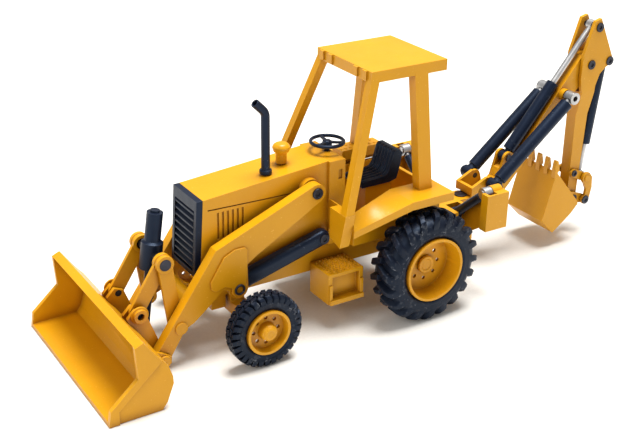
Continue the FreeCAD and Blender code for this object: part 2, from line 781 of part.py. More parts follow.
def exhaust():
    """A straight pipe, a bend forwards and an open slanted end."""
    body = new_body("exhaust_stack", (S.exhaust_x, S.exhaust_y, as_size(0)))
    along = (S.exhaust_x - S.bonnet_rear) / (nose - S.bonnet_rear)
    low = S.bonnet_rear_top - (S.bonnet_rear_top - S.bonnet_front_top) * along + 0.25
    bend, top, tip = S.exhaust_bend_radius, S.exhaust_straight_top, S.exhaust_tip
    middle = (as_size(0), as_size(0))
    disc(body, TOP_VIEW, middle, S.exhaust_radius, low, top)
    disc(body, TOP_VIEW, middle, S.exhaust_radius + 0.4, low, low + 0.9)
    elbow = new_sketch(body, TOP_VIEW, top)
    draw_circle(elbow, middle, S.exhaust_radius)
    spot = FreeCAD.Vector(bend.value, 0, 0)
    hinge = elbow.addGeometry(Part.LineSegment(spot, spot + FreeCAD.Vector(0, 1, 0)), True)
    rules = []
    fix_point(rules, hinge, 1, (bend, as_size(0)))
    fix_point(rules, hinge, 2, (bend, as_size(1)))
    apply_rules(elbow, rules)
    turned = body.newObject("PartDesign::Revolution", "exhaust_bend")
    turned.Profile = elbow
    turned.ReferenceAxis = (elbow, ["Axis0"])
    turned.Angle = 45.0
    doc.recompute()
    if turned.Shape.BoundBox.ZMax < top.value + 0.5:
        turned.Reversed = True
    root = math.sqrt(0.5)
    for kind, radius, reach in (("Pad", S.exhaust_radius, as_size(0)), ("Pocket", S.exhaust_bore, tip)):
        end = new_sketch(body, TOP_VIEW, top + bend * root + reach * root)
        draw_circle(end, middle, radius)
        across = bend * (1 - root) + reach * root
        slant = FreeCAD.Rotation(FreeCAD.Vector(0, 1, 0), 45)
        end.AttachmentOffset = FreeCAD.Placement(end.AttachmentOffset.Base, slant)
        bind(end, "AttachmentOffset.Base.x", across)
        feature = body.newObject(f"PartDesign::{kind}", f"exhaust_{kind.lower()}")
        feature.Profile = end
        feature.Type = 0
        bind(feature, "Length", tip)


def air_cleaner():
    along = (S.cleaner_x - S.bonnet_rear) / (nose - S.bonnet_rear)
    low = S.bonnet_rear_top - (S.bonnet_rear_top - S.bonnet_front_top) * along + 0.15
    body = new_body("air_precleaner", (S.cleaner_x, as_size(0), low), as_size(90), (1, 0, 0))
    tall = S.cleaner_top - low
    neck, cap = S.cleaner_neck_radius, S.cleaner_cap_radius
    revolve(body, [(as_size(0), as_size(0)), (neck, as_size(0)), (neck, tall - 2.2), (cap - 0.3, tall - 1.9),
                   (cap, tall - 0.9), (cap - 0.35, tall - 0.35), (cap - 0.9, tall), (as_size(0), tall)])


def cowl():
    body = new_body("cowl")
    half, rear, front = S.cowl_half_width, S.cowl_rear, S.bonnet_rear
    top = S.bonnet_rear_top
    plate(body, FRONT_VIEW, [(rear, S.chassis_top), (front, S.chassis_top), (front, top), (rear, top)],
          -half, half)
    for _, side in SIDES:
        slope = [(side * S.bracket_foot, S.bracket_bottom), (side * S.bracket_outside, S.bracket_top)]
        for inner, reach in ((half, front), (S.arm_outside + 0.4, S.bracket_front)):
            points = [(side * inner, S.bracket_bottom + 1.2)] + slope + [(side * inner, S.bracket_top)]
            plate(body, END_VIEW, points, front - 0.3, reach)
        start, end = span(side, half - 0.4, half)
        plate(body, FRONT_VIEW, rectangle(rear + 0.7, rear + 1.7, top - 4.4, top - 2.2), start, end,
              cut=True)
    disc(body, TOP_VIEW, (S.steering_x, as_size(0)), hole_radius(S.steering_shaft_radius), top - 3, top,
         cut=True)


def cab_tub():
    body = new_body("cab_tub")
    half, wall, low = S.tub_half_width, S.tub_wall, S.chassis_top
    front, rear = S.cowl_rear, S.tub_rear
    plate(body, TOP_VIEW, rectangle(rear, front, -half, half), low, low + S.floor_thickness)
    plate(body, TOP_VIEW, rectangle(rear, rear + wall, -half, half), low, S.tub_wall_top)
    for _, side in SIDES:
        start, end = span(side, half - wall, half)
        under = S.fender_top - S.fender_thickness
        points = [(rear, low), (front, low), (front, low + 3.5), (S.fender_fold, under),
                  (S.fender_rear, under), (rear, S.tub_wall_top)]
        plate(body, FRONT_VIEW, points, start, end)
    stand = S.seat_stand_half_width
    plate(body, TOP_VIEW, rectangle(S.seat_front - 8.6, S.seat_front - 1.8, -stand, stand), low,
          S.seat_bottom)


def seat():
    body = new_body("seat")
    half = S.seat_half_width
    plate(body, FRONT_VIEW, S.corners("seat", (S.seat_front, S.seat_bottom)), -half, half)
    round_edges(body, 0.6, lambda edge: runs_along(edge, (0, 1, 0)))


def fender(name, side):
    body = new_body(f"fender_{name}")
    inside, outside = S.tub_half_width, S.fender_outside
    top, thick = S.fender_top, S.fender_thickness
    start, end = span(side, inside, outside)
    plate(body, FRONT_VIEW, rectangle(S.fender_rear, S.fender_fold, top - thick, top), start, end)
    start, end = span(side, outside - 0.9, outside)
    plate(body, FRONT_VIEW, rectangle(S.fender_rear, S.fender_fold, top - S.fender_lip, top), start, end)
    start, end = span(side, inside, outside)
    plate(body, FRONT_VIEW, rectangle(S.fender_rear, S.fender_rear + 0.9, top - S.fender_lip, top),
          start, end)
    rear_section = [(side * inside, top), (side * outside, top), (side * outside, top - S.fender_lip),
                    (side * inside, top - thick)]
    brow, foot = S.bracket_top - 0.2, S.bracket_top - 5.7
    nose_section = [(side * (S.bracket_outside - 1.2), brow), (side * (S.bracket_outside - 0.2), foot + 1.6),
                    (side * (S.bracket_outside - 0.3), foot), (side * (S.bracket_outside - 2.4), brow - 1)]
    loft(body, END_VIEW, [(S.fender_fold, rear_section), (S.bonnet_rear - 0.3, nose_section)])
    if side < 0:
        start, end = span(side, inside - S.tub_wall, inside + S.console_width - S.tub_wall)
        high = top + S.console_height
        plate(body, FRONT_VIEW, rectangle(S.fender_rear, S.console_front, top, high), start, end)
        deep, wide = S.post_rear_length / 2 + 0.3, S.post_rear_width / 2 + 0.6
        foot = S.post_foot_rear_x
        start, end = span(side, S.post_foot_rear_y - wide, outside)
        plate(body, FRONT_VIEW, rectangle(foot - deep, foot + deep, top, high), start, end, cut=True)


def steps():
    body = new_body("steps")
    rear, front = S.step_rear, S.step_front
    low, high = S.step_bottom, S.step_top
    for _, side in SIDES:
        start, end = span(side, S.chassis_half_width, S.step_outside)
        plate(body, FRONT_VIEW, rectangle(rear, front, low, high), start, end)
        start, end = span(side, S.step_outside - S.step_recess, S.step_outside)
        plate(body, FRONT_VIEW, rectangle(rear + 1.1, front - 1.1, low + 1.3, high - 0.9), start, end,
              cut=True)


def canopy():
    body = new_body("canopy")
    front, rear, half = S.roof_front, S.roof_rear, S.roof_half_width
    top, under = S.roof_top, S.roof_top - S.roof_depth
    plate(body, TOP_VIEW, rectangle(rear, front, -half, half), under, top)
    rim = 1.3
    plate(body, TOP_VIEW, rectangle(rear + rim, front - rim, rim - half, half - rim), under,
          top - S.roof_skin, cut=True)
    for _, side in SIDES:
        for middle in (4.9, 8.3):
            start, end = span(side, as_size(middle) - 0.75, as_size(middle) + 0.75)
            plate(body, FRONT_VIEW, rectangle(front, front + 0.45, under + 0.3, top - 0.1), start, end)
    size = S.post_front_size
    wide, deep = S.post_rear_width, S.post_rear_length
    lap = under + 0.8
    for _, side in SIDES:
        head_y = side * (half - size / 2)
        foot_x, foot_y = S.post_foot_front_x, side * S.post_foot_front_y
        head_x = front - size / 2
        loft(body, TOP_VIEW, [(S.bracket_top, rectangle_about(foot_x, foot_y, size, size)),
                              (lap, rectangle_about(head_x, head_y, size, size))])
        foot_x, foot_y = S.post_foot_rear_x, side * S.post_foot_rear_y
        head_x, head_y = foot_x + 0.2, side * (half - wide / 2)
        loft(body, TOP_VIEW, [(S.fender_top, rectangle_about(foot_x, foot_y, deep, wide)),
                              (lap, rectangle_about(head_x, head_y, deep, wide))])


def steering_wheel():
    body = new_body("steering_wheel", (S.steering_x, as_size(0), S.steering_height), as_size(90), (1, 0, 0))
    radius, thick = S.steering_radius, S.steering_rim_radius
    middle = radius - thick
    sides = 8
    corners = [(middle + thick * math.cos(math.tau * n / sides), thick * math.sin(math.tau * n / sides))
               for n in range(sides)]
    revolve(body, corners)
    shaft = S.steering_shaft_radius
    down = S.steering_height - S.bonnet_rear_top + 2.6
    centre = (as_size(0), as_size(0))
    disc(body, FRONT_VIEW, centre, shaft + 0.6, as_size(-1.0), as_size(0.3))
    disc(body, FRONT_VIEW, centre, shaft, -down, as_size(0))
    spoke = plate(body, FRONT_VIEW, rectangle(as_size(0.4), middle, as_size(-0.35), as_size(0.35)),
                  as_size(-0.3), as_size(0.15))
    ring_of(body, spoke, 3)


# ---------------------------------------------------------------- loader
def loader_arm(name, side):
    body = new_body(f"loader_arm_{name}")
    inside, outside = S.arm_inside, S.arm_outside
    start, end = span(side, inside, outside)
    points = (S.corners("arm_top", arm_pivot) + S.corners("arm_foot_front", bucket_pin)
              + S.corners("arm_foot_rear", bucket_pin) + S.corners("arm_elbow", lift_pin)[::-1]
              + S.corners("arm_under", arm_pivot))
    plate(body, FRONT_VIEW, points, start, end)
    disc(body, FRONT_VIEW, arm_pivot, S.arm_eye_radius, start, end)
    disc(body, FRONT_VIEW, bucket_pin, S.arm_end_radius, start, end)
    lug_start, lug_end = span(side, S.lift_lug_inside, outside)
    lug = S.lift_lug_radius
    disc(body, FRONT_VIEW, lift_pin, lug, lug_start, lug_end)
    roof = S.corners("arm_under", arm_pivot)[0]
    elbow = S.corners("arm_elbow", lift_pin)[0]
    plate(body, FRONT_VIEW, [(lift_pin[0] - lug, lift_pin[1]), (lift_pin[0] + lug, lift_pin[1]),
                             (elbow[0] + 0.6, elbow[1] + 0.6), (roof[0] + 2.5, roof[1] + 1.2), roof],
          lug_start, lug_end)
    for centre in (arm_pivot, bucket_pin, lift_pin, lever_pin):
        disc(body, FRONT_VIEW, centre, hole_radius(S.loader_pin_radius), start, end, cut=True)


def loader_cross_tube():
    body = new_body("loader_cross_tube")
    disc(body, FRONT_VIEW, cross_tube, S.cross_tube_radius, -S.arm_inside, S.arm_inside)


def rivet(body, centre, side, inner, outer, radius=None, head=None):
    """A riveted pin: its shank between two depths and a flat head on the outer end."""
    shank = radius or S.loader_pin_radius
    start, end = span(side, inner, outer)
    disc(body, FRONT_VIEW, centre, shank, start, end)
    start, end = span(side, outer, outer + S.rivet_head_height)
    disc(body, FRONT_VIEW, centre, head or S.rivet_head, start, end)
    start, end = span(side, outer + S.rivet_head_height - 0.25, outer + S.rivet_head_height)
    disc(body, FRONT_VIEW, centre, shank - 0.2, start, end, cut=True)


def chassis_pins():
    """Every rivet that is fixed in the tractor itself."""
    body = new_body("chassis_pins")
    rear_frame_pins(body)
    for _, side in SIDES:
        rivet(body, arm_pivot, side, S.bonnet_half_width - 2, S.arm_outside)
        rivet(body, lift_base, side, S.bonnet_half_width - 2, S.lift_barrel_outside)


def loader_pins():
    body = new_body("loader_pins")
    for _, side in SIDES:
        rivet(body, lift_pin, side, S.lift_lug_inside, S.arm_outside)
        rivet(body, lever_pin, side, S.tilt_lever_inside, S.arm_outside)
        start, end = span(side, S.ear_outer_outside + S.running_fit,
                          S.ear_outer_outside + S.rivet_head_height + S.running_fit)
        disc(body, FRONT_VIEW, bucket_pin, S.rivet_head, start, end)
    reach = S.ear_outer_outside + S.running_fit
    disc(body, FRONT_VIEW, bucket_pin, S.loader_pin_radius, -reach, reach)


def lift_cylinders():
    """The two lift cylinders turn about one axis, so each stage of the pair is one group."""
    reach, direction = between(lift_base, lift_pin)
    place = (lift_base[0], as_size(0), lift_base[1])
    centre = (as_size(0), as_size(0))
    half = S.lift_barrel_height / 2
    mouth = reach - S.lift_lug_radius - 0.5
    middle = (S.lift_barrel_inside + S.lift_barrel_outside) / 2
    barrels = new_body("lift_barrels", place, -direction)
    for _, side in SIDES:
        start, end = span(side, S.lift_barrel_inside, S.lift_barrel_outside)
        disc(barrels, FRONT_VIEW, centre, half, start, end)
        plate(barrels, FRONT_VIEW, rectangle(as_size(0), mouth, -half, half), start, end)
    round_edges(barrels, 1.1, lambda edge: runs_along(edge, (1, 0, 0)) and edge.Length > 4)
    for _, side in SIDES:
        start, end = span(side, S.lift_barrel_inside, S.lift_barrel_outside)
        disc(barrels, FRONT_VIEW, centre, hole_radius(S.loader_pin_radius), start, end, cut=True)
        disc(barrels, END_VIEW, (side * middle, as_size(0)), hole_radius(S.lift_rod_radius),
             reach - S.lift_rod_overlap - 0.6, mouth, cut=True)
    rods = new_body("lift_rods", place, -direction)
    radius = S.lift_rod_radius
    for _, side in SIDES:
        disc(rods, END_VIEW, (side * middle, as_size(0)), radius, reach - S.lift_rod_overlap, reach)
        start, end = span(side, middle - radius - 0.05, middle + radius + 0.05)
        disc(rods, FRONT_VIEW, (reach, as_size(0)), radius + 0.9, start, end)
        disc(rods, FRONT_VIEW, (reach, as_size(0)), hole_radius(S.loader_pin_radius), start, end, cut=True)


def bar(body, first, second, first_radius, second_radius, start, end):
    """A flat link with round ends and straight sides between two pivots."""
    across, up = second[0] - first[0], second[1] - first[1]
    reach = length_of(across, up)
    away = (-(up / reach), across / reach)
    points = []
    for pivot, radius, sign in ((first, first_radius, 1), (second, second_radius, 1),
                                (second, second_radius, -1), (first, first_radius, -1)):
        points.append((pivot[0] + sign * radius * away[0], pivot[1] + sign * radius * away[1]))
    plate(body, FRONT_VIEW, points, start, end)
    disc(body, FRONT_VIEW, first, first_radius, start, end)
    disc(body, FRONT_VIEW, second, second_radius, start, end)


def tilt_levers():
    """Two levers, the links beside them, and the trunnion pin that the levers turn with."""
    levers = new_body("tilt_levers")
    links = new_body("tilt_links")
    for _, side in SIDES:
        start, end = span(side, S.tilt_lever_inside, S.tilt_lever_outside)
        bar(levers, lever_pin, trunnion, S.tilt_lever_radius, S.tilt_lever_radius, start, end)
        disc(levers, FRONT_VIEW, lever_pin, hole_radius(S.loader_pin_radius), start, end, cut=True)
        disc(levers, FRONT_VIEW, trunnion, S.trunnion_radius, start, end, cut=True)
        start, end = span(side, S.tilt_link_inside, S.tilt_link_outside)
        bar(links, trunnion, link_pin, S.tilt_lever_radius, S.tilt_lever_radius, start, end)
        disc(links, FRONT_VIEW, trunnion, S.trunnion_radius + S.link_eye_slack, start, end, cut=True)
        disc(links, FRONT_VIEW, link_pin, hole_radius(S.loader_pin_radius), start, end, cut=True)
    pin = new_body("tilt_trunnion")
    reach = S.tilt_lever_outside
    for _, side in SIDES:
        start, end = span(side, hole_radius(S.tilt_rod_radius) + S.side_gap, reach)
        disc(pin, FRONT_VIEW, trunnion, S.trunnion_radius, start, end)
        start, end = span(side, reach, reach + S.rivet_head_height)
        disc(pin, FRONT_VIEW, trunnion, S.trunnion_radius + 0.35, start, end)


def tilt_cylinder():
    reach, direction = between(bucket_pin, trunnion)
    place = (bucket_pin[0], as_size(0), bucket_pin[1])
    barrel = new_body("tilt_barrel", place, -direction)
    low, top = reach - S.tilt_barrel_below, reach + S.tilt_barrel_above
    radius, collar = S.tilt_barrel_radius, S.tilt_collar_radius
    turn_profile(barrel, [(low, as_size(0)), (low, collar), (reach + 2.4, collar), (reach + 2.8, radius),
                          (top, radius), (top, as_size(0))])
    disc(barrel, END_VIEW, (as_size(0), as_size(0)), radius - 0.7, top, top + 0.5)
    disc(barrel, FRONT_VIEW, (reach, as_size(0)), hole_radius(S.trunnion_radius), -collar, collar, cut=True)
    disc(barrel, END_VIEW, (as_size(0), as_size(0)), hole_radius(S.tilt_rod_radius), low,
         low + 0.6 + S.tilt_stroke, cut=True)
    rod = new_body("tilt_rod", place, -direction)
    eye = S.tilt_rod_eye
    disc(rod, END_VIEW, (as_size(0), as_size(0)), S.tilt_rod_radius, as_size(0), low + 0.6)
    half = S.tilt_rod_radius + S.running_fit
    disc(rod, FRONT_VIEW, (as_size(0), as_size(0)), eye, -half, half)
    disc(rod, FRONT_VIEW, (as_size(0), as_size(0)), S.loader_pin_radius + S.link_eye_slack, -half, half,
         cut=True)


def loader_bucket():
    body = new_body("loader_bucket")
    half, wall = S.bucket_half_width, S.bucket_side_wall
    tip = (bucket_pin[0] + S.bucket_reach, as_size(0.1))
    shell = S.corners("loader_shell", bucket_pin) + [tip] + S.corners("loader_side", bucket_pin)
    plate(body, FRONT_VIEW, shell, -half, half)
    cavity = S.corners("loader_cavity", bucket_pin)
    far = tip[0] + 3
    cavity = cavity + [(far, cavity[-1][1] - 0.3), (far, cavity[0][1] + 6), (cavity[0][0], cavity[0][1] + 6)]
    plate(body, FRONT_VIEW, cavity, wall - half, half - wall, cut=True)
    ear = S.corners("loader_ear", bucket_pin)
    outer_ear = S.corners("loader_outer_ear", bucket_pin)
    pairs = ((ear, S.ear_inner_inside, S.ear_inner_outside), (ear, S.ear_mid_inside, S.ear_mid_outside),
             (outer_ear, S.ear_outer_inside, S.ear_outer_outside))
    for _, side in SIDES:
        for shape, inner, outer in pairs:
            start, end = span(side, inner, outer)
            plate(body, FRONT_VIEW, shape, start, end)
    reach = S.ear_outer_outside
    disc(body, FRONT_VIEW, bucket_pin, hole_radius(S.loader_pin_radius), -reach, reach, cut=True)
    reach = S.ear_mid_outside
    disc(body, FRONT_VIEW, link_pin, hole_radius(S.loader_pin_radius), -reach, reach, cut=True)


def bucket_pins():
    """The rivets that hold the links in the brackets of each bucket."""
    body = new_body("bucket_link_pins")
    for _, side in SIDES:
        rivet(body, link_pin, side, S.ear_inner_inside, S.ear_mid_outside)
    body = new_body("digger_link_pins")
    for _, side in SIDES:
        rivet(body, digger_link, side, S.guide_inside, S.link_outside, S.backhoe_pin_radius)


# ---------------------------------------------------------------- backhoe
def swing_frame():
    body = new_body("swing_frame")
    hub_low = S.king_bottom + S.king_plate + S.side_gap
    hub_high = S.king_top - S.king_plate - S.side_gap
    centre = (S.swing_x, as_size(0))
    web = S.swing_hub_radius
    rear = boom_base[0] + 2.6
    disc(body, TOP_VIEW, centre, web, hub_low, hub_high)
    plate(body, TOP_VIEW, rectangle(rear, S.swing_x, -web, web), hub_low, hub_high)
    side_plate = S.corners("swing_side", boom_base)
    outside, inside = S.swing_outside, S.swing_inside
    heel = S.swing_x - S.king_plate_radius - 0.4
    plate(body, TOP_VIEW, rectangle(rear, heel, -outside, outside), hub_low, hub_high)
    for _, side in SIDES:
        start, end = span(side, inside, outside)
        plate(body, FRONT_VIEW, side_plate, start, end)
        disc(body, FRONT_VIEW, boom_base, S.boom_barrel_boss, start, end)
        disc(body, FRONT_VIEW, boom_foot, S.boom_foot_radius - 0.3, start, end)
    front = side_plate[1][0]
    floor = S.king_top + S.rivet_head_height + S.side_gap
    plate(body, TOP_VIEW, rectangle(front - 1, front, -outside, outside), floor, side_plate[1][1])
    disc(body, TOP_VIEW, centre, hole_radius(S.king_pin_radius), hub_low, hub_high, cut=True)
    for centre in (boom_base, boom_foot):
        disc(body, FRONT_VIEW, centre, hole_radius(S.backhoe_pin_radius), -outside, outside, cut=True)


def swing_pins():
    body = new_body("swing_pins")
    small = S.backhoe_pin_radius
    for _, side in SIDES:
        rivet(body, boom_base, side, S.swing_inside, S.boom_barrel_y + S.boom_barrel_radius, small)
        start, end = span(side, S.swing_outside, S.swing_outside + S.rivet_head_height)
        disc(body, FRONT_VIEW, boom_foot, S.rivet_head, start, end)
    disc(body, FRONT_VIEW, boom_foot, small, -S.swing_outside, S.swing_outside)


def boom():
    body = new_body("boom")
    half = S.boom_half_width
    points = (S.corners("boom_back", boom_foot) + S.corners("boom_end", stick_pin)
              + S.corners("boom_top", boom_foot))
    plate(body, FRONT_VIEW, points, -half, half)
    disc(body, FRONT_VIEW, stick_pin, S.boom_end_radius, -half, half)
    disc(body, FRONT_VIEW, boom_foot, S.boom_foot_radius, -S.boom_foot_half_width, S.boom_foot_half_width)
    disc(body, FRONT_VIEW, boom_eye, S.boom_barrel_boss, -S.boom_boss_outside, S.boom_boss_outside)
    plate(body, FRONT_VIEW, S.corners("boom_ear", stick_base), -half, half)
    disc(body, FRONT_VIEW, stick_base, S.boom_ear_radius, -half, half)
    gap = S.boom_ear_gap
    slot = [(stick_base[0] - 4.4, stick_base[1] + 0.2), (stick_base[0] + 4, stick_base[1] - 3.1),
            (stick_base[0] + 4, stick_base[1] + 4), (stick_base[0] - 4.4, stick_base[1] + 4)]
    plate(body, FRONT_VIEW, slot, -gap, gap, cut=True)
    small = hole_radius(S.backhoe_pin_radius)
    for centre in (stick_pin, stick_base):
        disc(body, FRONT_VIEW, centre, small, -half, half, cut=True)
    disc(body, FRONT_VIEW, boom_foot, small, -S.boom_foot_half_width, S.boom_foot_half_width, cut=True)


def boom_pins():
    body = new_body("boom_pins")
    small = S.backhoe_pin_radius
    half = S.boom_half_width
    disc(body, FRONT_VIEW, stick_base, small, -half, half)
    for _, side in SIDES:
        start, end = span(side, half, half + S.rivet_head_height)
        disc(body, FRONT_VIEW, stick_base, small + 0.3, start, end)


def round_cylinder(label, base, tip, middle, radius, rod_radius, mouth_gap, eye_half, eye_radius, overlap,
                   stroke, sides, plural=""):
    """Round barrels turned on their base pin, and the rods that slide in them."""
    reach, direction = between(base, tip)
    place = (base[0], as_size(0), base[1])
    barrel = new_body(f"{label}_barrel{plural}", place, -direction)
    rod = new_body(f"{label}_rod{plural}", place, -direction)
    mouth = reach - mouth_gap
    neck = S.boom_ear_radius + 2 * S.side_gap
    root = (as_size(0), as_size(0))
    pin_hole = hole_radius(S.backhoe_pin_radius)
    for side in sides:
        centre = side * middle
        axis = (centre, as_size(0))
        start, end = centre - eye_half, centre + eye_half
        disc(barrel, END_VIEW, axis, radius, neck, mouth)
        disc(barrel, END_VIEW, axis, eye_half - 0.05, as_size(0), neck + 1)
        disc(barrel, FRONT_VIEW, root, eye_radius, start, end)
        disc(barrel, FRONT_VIEW, root, pin_hole, start, end, cut=True)
        disc(barrel, END_VIEW, axis, hole_radius(rod_radius), reach - overlap - stroke, mouth, cut=True)
        disc(rod, END_VIEW, axis, rod_radius, reach - overlap, reach)
        disc(rod, FRONT_VIEW, (reach, as_size(0)), eye_radius, start, end)
        disc(rod, FRONT_VIEW, (reach, as_size(0)), pin_hole, start, end, cut=True)


def backhoe_cylinders():
    round_cylinder("boom", boom_base, boom_eye, S.boom_barrel_y, S.boom_barrel_radius, S.boom_rod_radius,
                   S.boom_barrel_boss + 0.5, as_size(1.3), S.boom_barrel_boss, as_size(11.5),
                   S.boom_stroke, (1, -1), "s")
    round_cylinder("stick", stick_base, stick_top, as_size(0), S.stick_barrel_radius, S.stick_rod_radius,
                   as_size(17.2), S.boom_ear_gap - 0.15, as_size(1.3), as_size(25),
                   S.stick_stroke, (1,))
    round_cylinder("curl", curl_base, knee, as_size(0), S.curl_barrel_radius, S.curl_rod_radius,
                   as_size(8.6), as_size(1.2), as_size(1.3), as_size(14), S.curl_stroke, (1,))


def stick():
    body = new_body("stick")
    head, foot = S.corners("stick_head", stick_pin), S.corners("stick_foot", digger_pin)
    back = S.corners("stick_head_rear", stick_pin)
    outside, inside = S.stick_outside, S.stick_outside - S.stick_cheek
    plate(body, FRONT_VIEW, head + foot + back, -outside, outside)
    fork_floor = head[-1][1]
    far = as_size(14)
    plate(body, FRONT_VIEW, rectangle(stick_pin[0] - far, stick_pin[0] + far, fork_floor,
                                      stick_pin[1] + far), -inside, inside, cut=True)
    slim = S.stick_end_half_width
    shoulder = fork_floor - 0.5
    for _, side in SIDES:
        wedge = [(side * slim, shoulder - 6), (side * outside, shoulder), (side * (outside + 1), shoulder),
                 (side * (outside + 1), digger_pin[1] - 6), (side * slim, digger_pin[1] - 6)]
        plate(body, END_VIEW, wedge, stick_pin[0] - far, stick_pin[0] + far, cut=True)
    small = hole_radius(S.backhoe_pin_radius)
    for centre in (stick_pin, stick_top, curl_base, digger_pin, guide_pin):
        disc(body, FRONT_VIEW, centre, small, -outside, outside, cut=True)


def stick_pins():
    body = new_body("stick_pins")
    small = S.backhoe_pin_radius
    outside, cheek = S.stick_outside, S.stick_outside - S.stick_cheek
    for _, side in SIDES:
        rivet(body, stick_top, side, cheek, outside, small)
        rivet(body, curl_base, side, as_size(0), outside, small)
        rivet(body, stick_pin, side, as_size(0), outside, small)
        rivet(body, guide_pin, side, as_size(0), S.guide_outside, small, small + 0.2)
        rivet(body, digger_pin, side, as_size(0), S.guide_outside, small, small + 0.2)


def guide_levers():
    body = new_body("guide_levers")
    for _, side in SIDES:
        start, end = span(side, S.guide_inside, S.guide_outside)
        bar(body, guide_pin, knee, as_size(1.1), as_size(1.1), start, end)
        disc(body, FRONT_VIEW, guide_pin, hole_radius(S.backhoe_pin_radius), start, end, cut=True)


def knee_links():
    """The pair of curved links from the bucket up to the knee, with a rivet head at each end."""
    body = new_body("bucket_links")
    for _, side in SIDES:
        start, end = span(side, S.link_inside, S.link_outside)
        plate(body, FRONT_VIEW, S.corners("knee_link", knee), start, end)
        disc(body, FRONT_VIEW, knee, as_size(1.5), start, end)
        disc(body, FRONT_VIEW, digger_link, as_size(1.2), start, end)
        disc(body, FRONT_VIEW, digger_link, hole_radius(S.backhoe_pin_radius), start, end, cut=True)
        start, end = span(side, S.link_outside, S.link_outside + S.rivet_head_height)
        disc(body, FRONT_VIEW, knee, S.backhoe_pin_radius + 0.2, start, end)


def digger_bucket():
    body = new_body("backhoe_bucket")
    half, wall = S.digger_half_width, S.digger_side_wall
    shell = S.corners("digger_shell", digger_pin)
    plate(body, FRONT_VIEW, shell, -half, half)
    cavity = S.corners("digger_cavity", digger_pin)
    cavity = cavity + [(cavity[-1][0] - 1, cavity[-1][1] + 6), (cavity[0][0] - 2, cavity[0][1] + 3)]
    plate(body, FRONT_VIEW, cavity, wall - half, half - wall, cut=True)
    for _, side in SIDES:
        start, end = span(side, S.guide_inside, S.guide_outside)
        plate(body, FRONT_VIEW, S.corners("digger_ear", digger_pin), start, end)
    reach = S.guide_outside
    small = hole_radius(S.backhoe_pin_radius)
    disc(body, FRONT_VIEW, digger_pin, small, -reach, reach, cut=True)
    disc(body, FRONT_VIEW, digger_link, small, -reach, reach, cut=True)
    lip = shell[0]
    wide = S.tooth_width
    count = 5
    pitch = (2 * half - wide) / (count - 1)
    for number in range(count):
        start = -half + pitch * number
        plate(body, FRONT_VIEW, [(lip[0] - 0.8, lip[1] + 0.4), (lip[0] + 0.5, lip[1] - 1.6),
                                 (lip[0] + 0.6, lip[1] + 0.6), (lip[0] + 0.3, lip[1] + 2.9),
                                 (lip[0] - 0.2, lip[1] + 2.9)], start, start + wide)


# ---------------------------------------------------------------- stabilisers
def stabiliser_leg(name, side):
    """Leg plate and ground pad in one casting, with a pocket in the pad for the rod's eye."""
    body = new_body(f"stabiliser_leg_{name}")
    front, rear = S.leg_front, S.leg_rear
    split = rear + S.leg_plate
    points = [(side * across, up) for across, up in S.corners("leg", leg_pin)]
    plate(body, END_VIEW, points, rear, split)
    start, end = span(side, S.pad_inside, S.pad_outside)
    plate(body, FRONT_VIEW, rectangle(S.pad_rear, S.pad_front, S.pad_bottom, S.pad_top), start, end)
    root = (side * leg_pin[0], leg_pin[1])
    disc(body, END_VIEW, root, S.leg_eye_radius, rear, split)
    disc(body, END_VIEW, root, hole_radius(S.leg_pin_radius), rear, split, cut=True)
    top = (side * leg_top[0], leg_top[1])
    disc(body, END_VIEW, top, S.leg_eye_radius, S.pad_rear + 0.4, split)
    disc(body, END_VIEW, top, S.leg_eye_radius + S.leg_eye_play, split, front + S.side_gap, cut=True)
    disc(body, END_VIEW, top, S.leg_pin_radius + 0.3, S.pad_rear + 0.1, S.pad_rear + 0.4)


def stabiliser_cylinder(name, side):
    """Barrel and rod in front of the leg plate. The rod's eye has a stub pin of its own."""
    reach, direction = between(leg_base, leg_top)
    place = (S.leg_cylinder_x, side * leg_base[0], leg_base[1])
    turn = direction if side > 0 else Size(180, "180 deg") - direction
    eye, radius, rod_radius = S.leg_eye_radius, S.leg_barrel_radius, S.leg_rod_radius
    middle = (as_size(0), as_size(0))
    barrel = new_body(f"stabiliser_barrel_{name}", place, turn, (1, 0, 0))
    mouth = reach - eye - 2 * S.side_gap
    disc(barrel, FRONT_VIEW, middle, radius, as_size(0), mouth)
    disc(barrel, END_VIEW, middle, eye, -radius, radius)
    disc(barrel, END_VIEW, middle, hole_radius(S.leg_pin_radius), -radius - 0.1, radius + 0.1, cut=True)
    disc(barrel, FRONT_VIEW, middle, hole_radius(rod_radius), reach - S.leg_rod_overlap - 0.4, mouth,
         cut=True)
    rod = new_body(f"stabiliser_rod_{name}", place, turn, (1, 0, 0))
    disc(rod, FRONT_VIEW, middle, rod_radius, reach - S.leg_rod_overlap, reach)
    disc(rod, END_VIEW, (reach, as_size(0)), eye - 0.1, -radius, radius)
    disc(rod, END_VIEW, (reach, as_size(0)), S.leg_pin_radius + 0.2, radius, radius + S.rivet_head_height)


# ---------------------------------------------------------------- build
def build():
    chassis()
    rear_frame()
    bonnet()
    grille()
    exhaust()
    air_cleaner()
    cowl()
    cab_tub()
    seat()
    steps()
    canopy()
    steering_wheel()
    rear_shaft()
    front_axle_beam()
    chassis_pins()
    for name, side in SIDES:
        fender(name, side)
        rear_wheel(name, side)
        front_wheel(name, side)
        loader_arm(name, side)
        stabiliser_leg(name, side)
        stabiliser_cylinder(name, side)
    loader_cross_tube()
    loader_pins()
    lift_cylinders()
    tilt_levers()
    tilt_cylinder()
    loader_bucket()
    bucket_pins()
    swing_frame()
    swing_pins()
    boom()
    boom_pins()
    backhoe_cylinders()
    stick()
    stick_pins()
    guide_levers()
    knee_links()
    digger_bucket()
    doc.recompute()


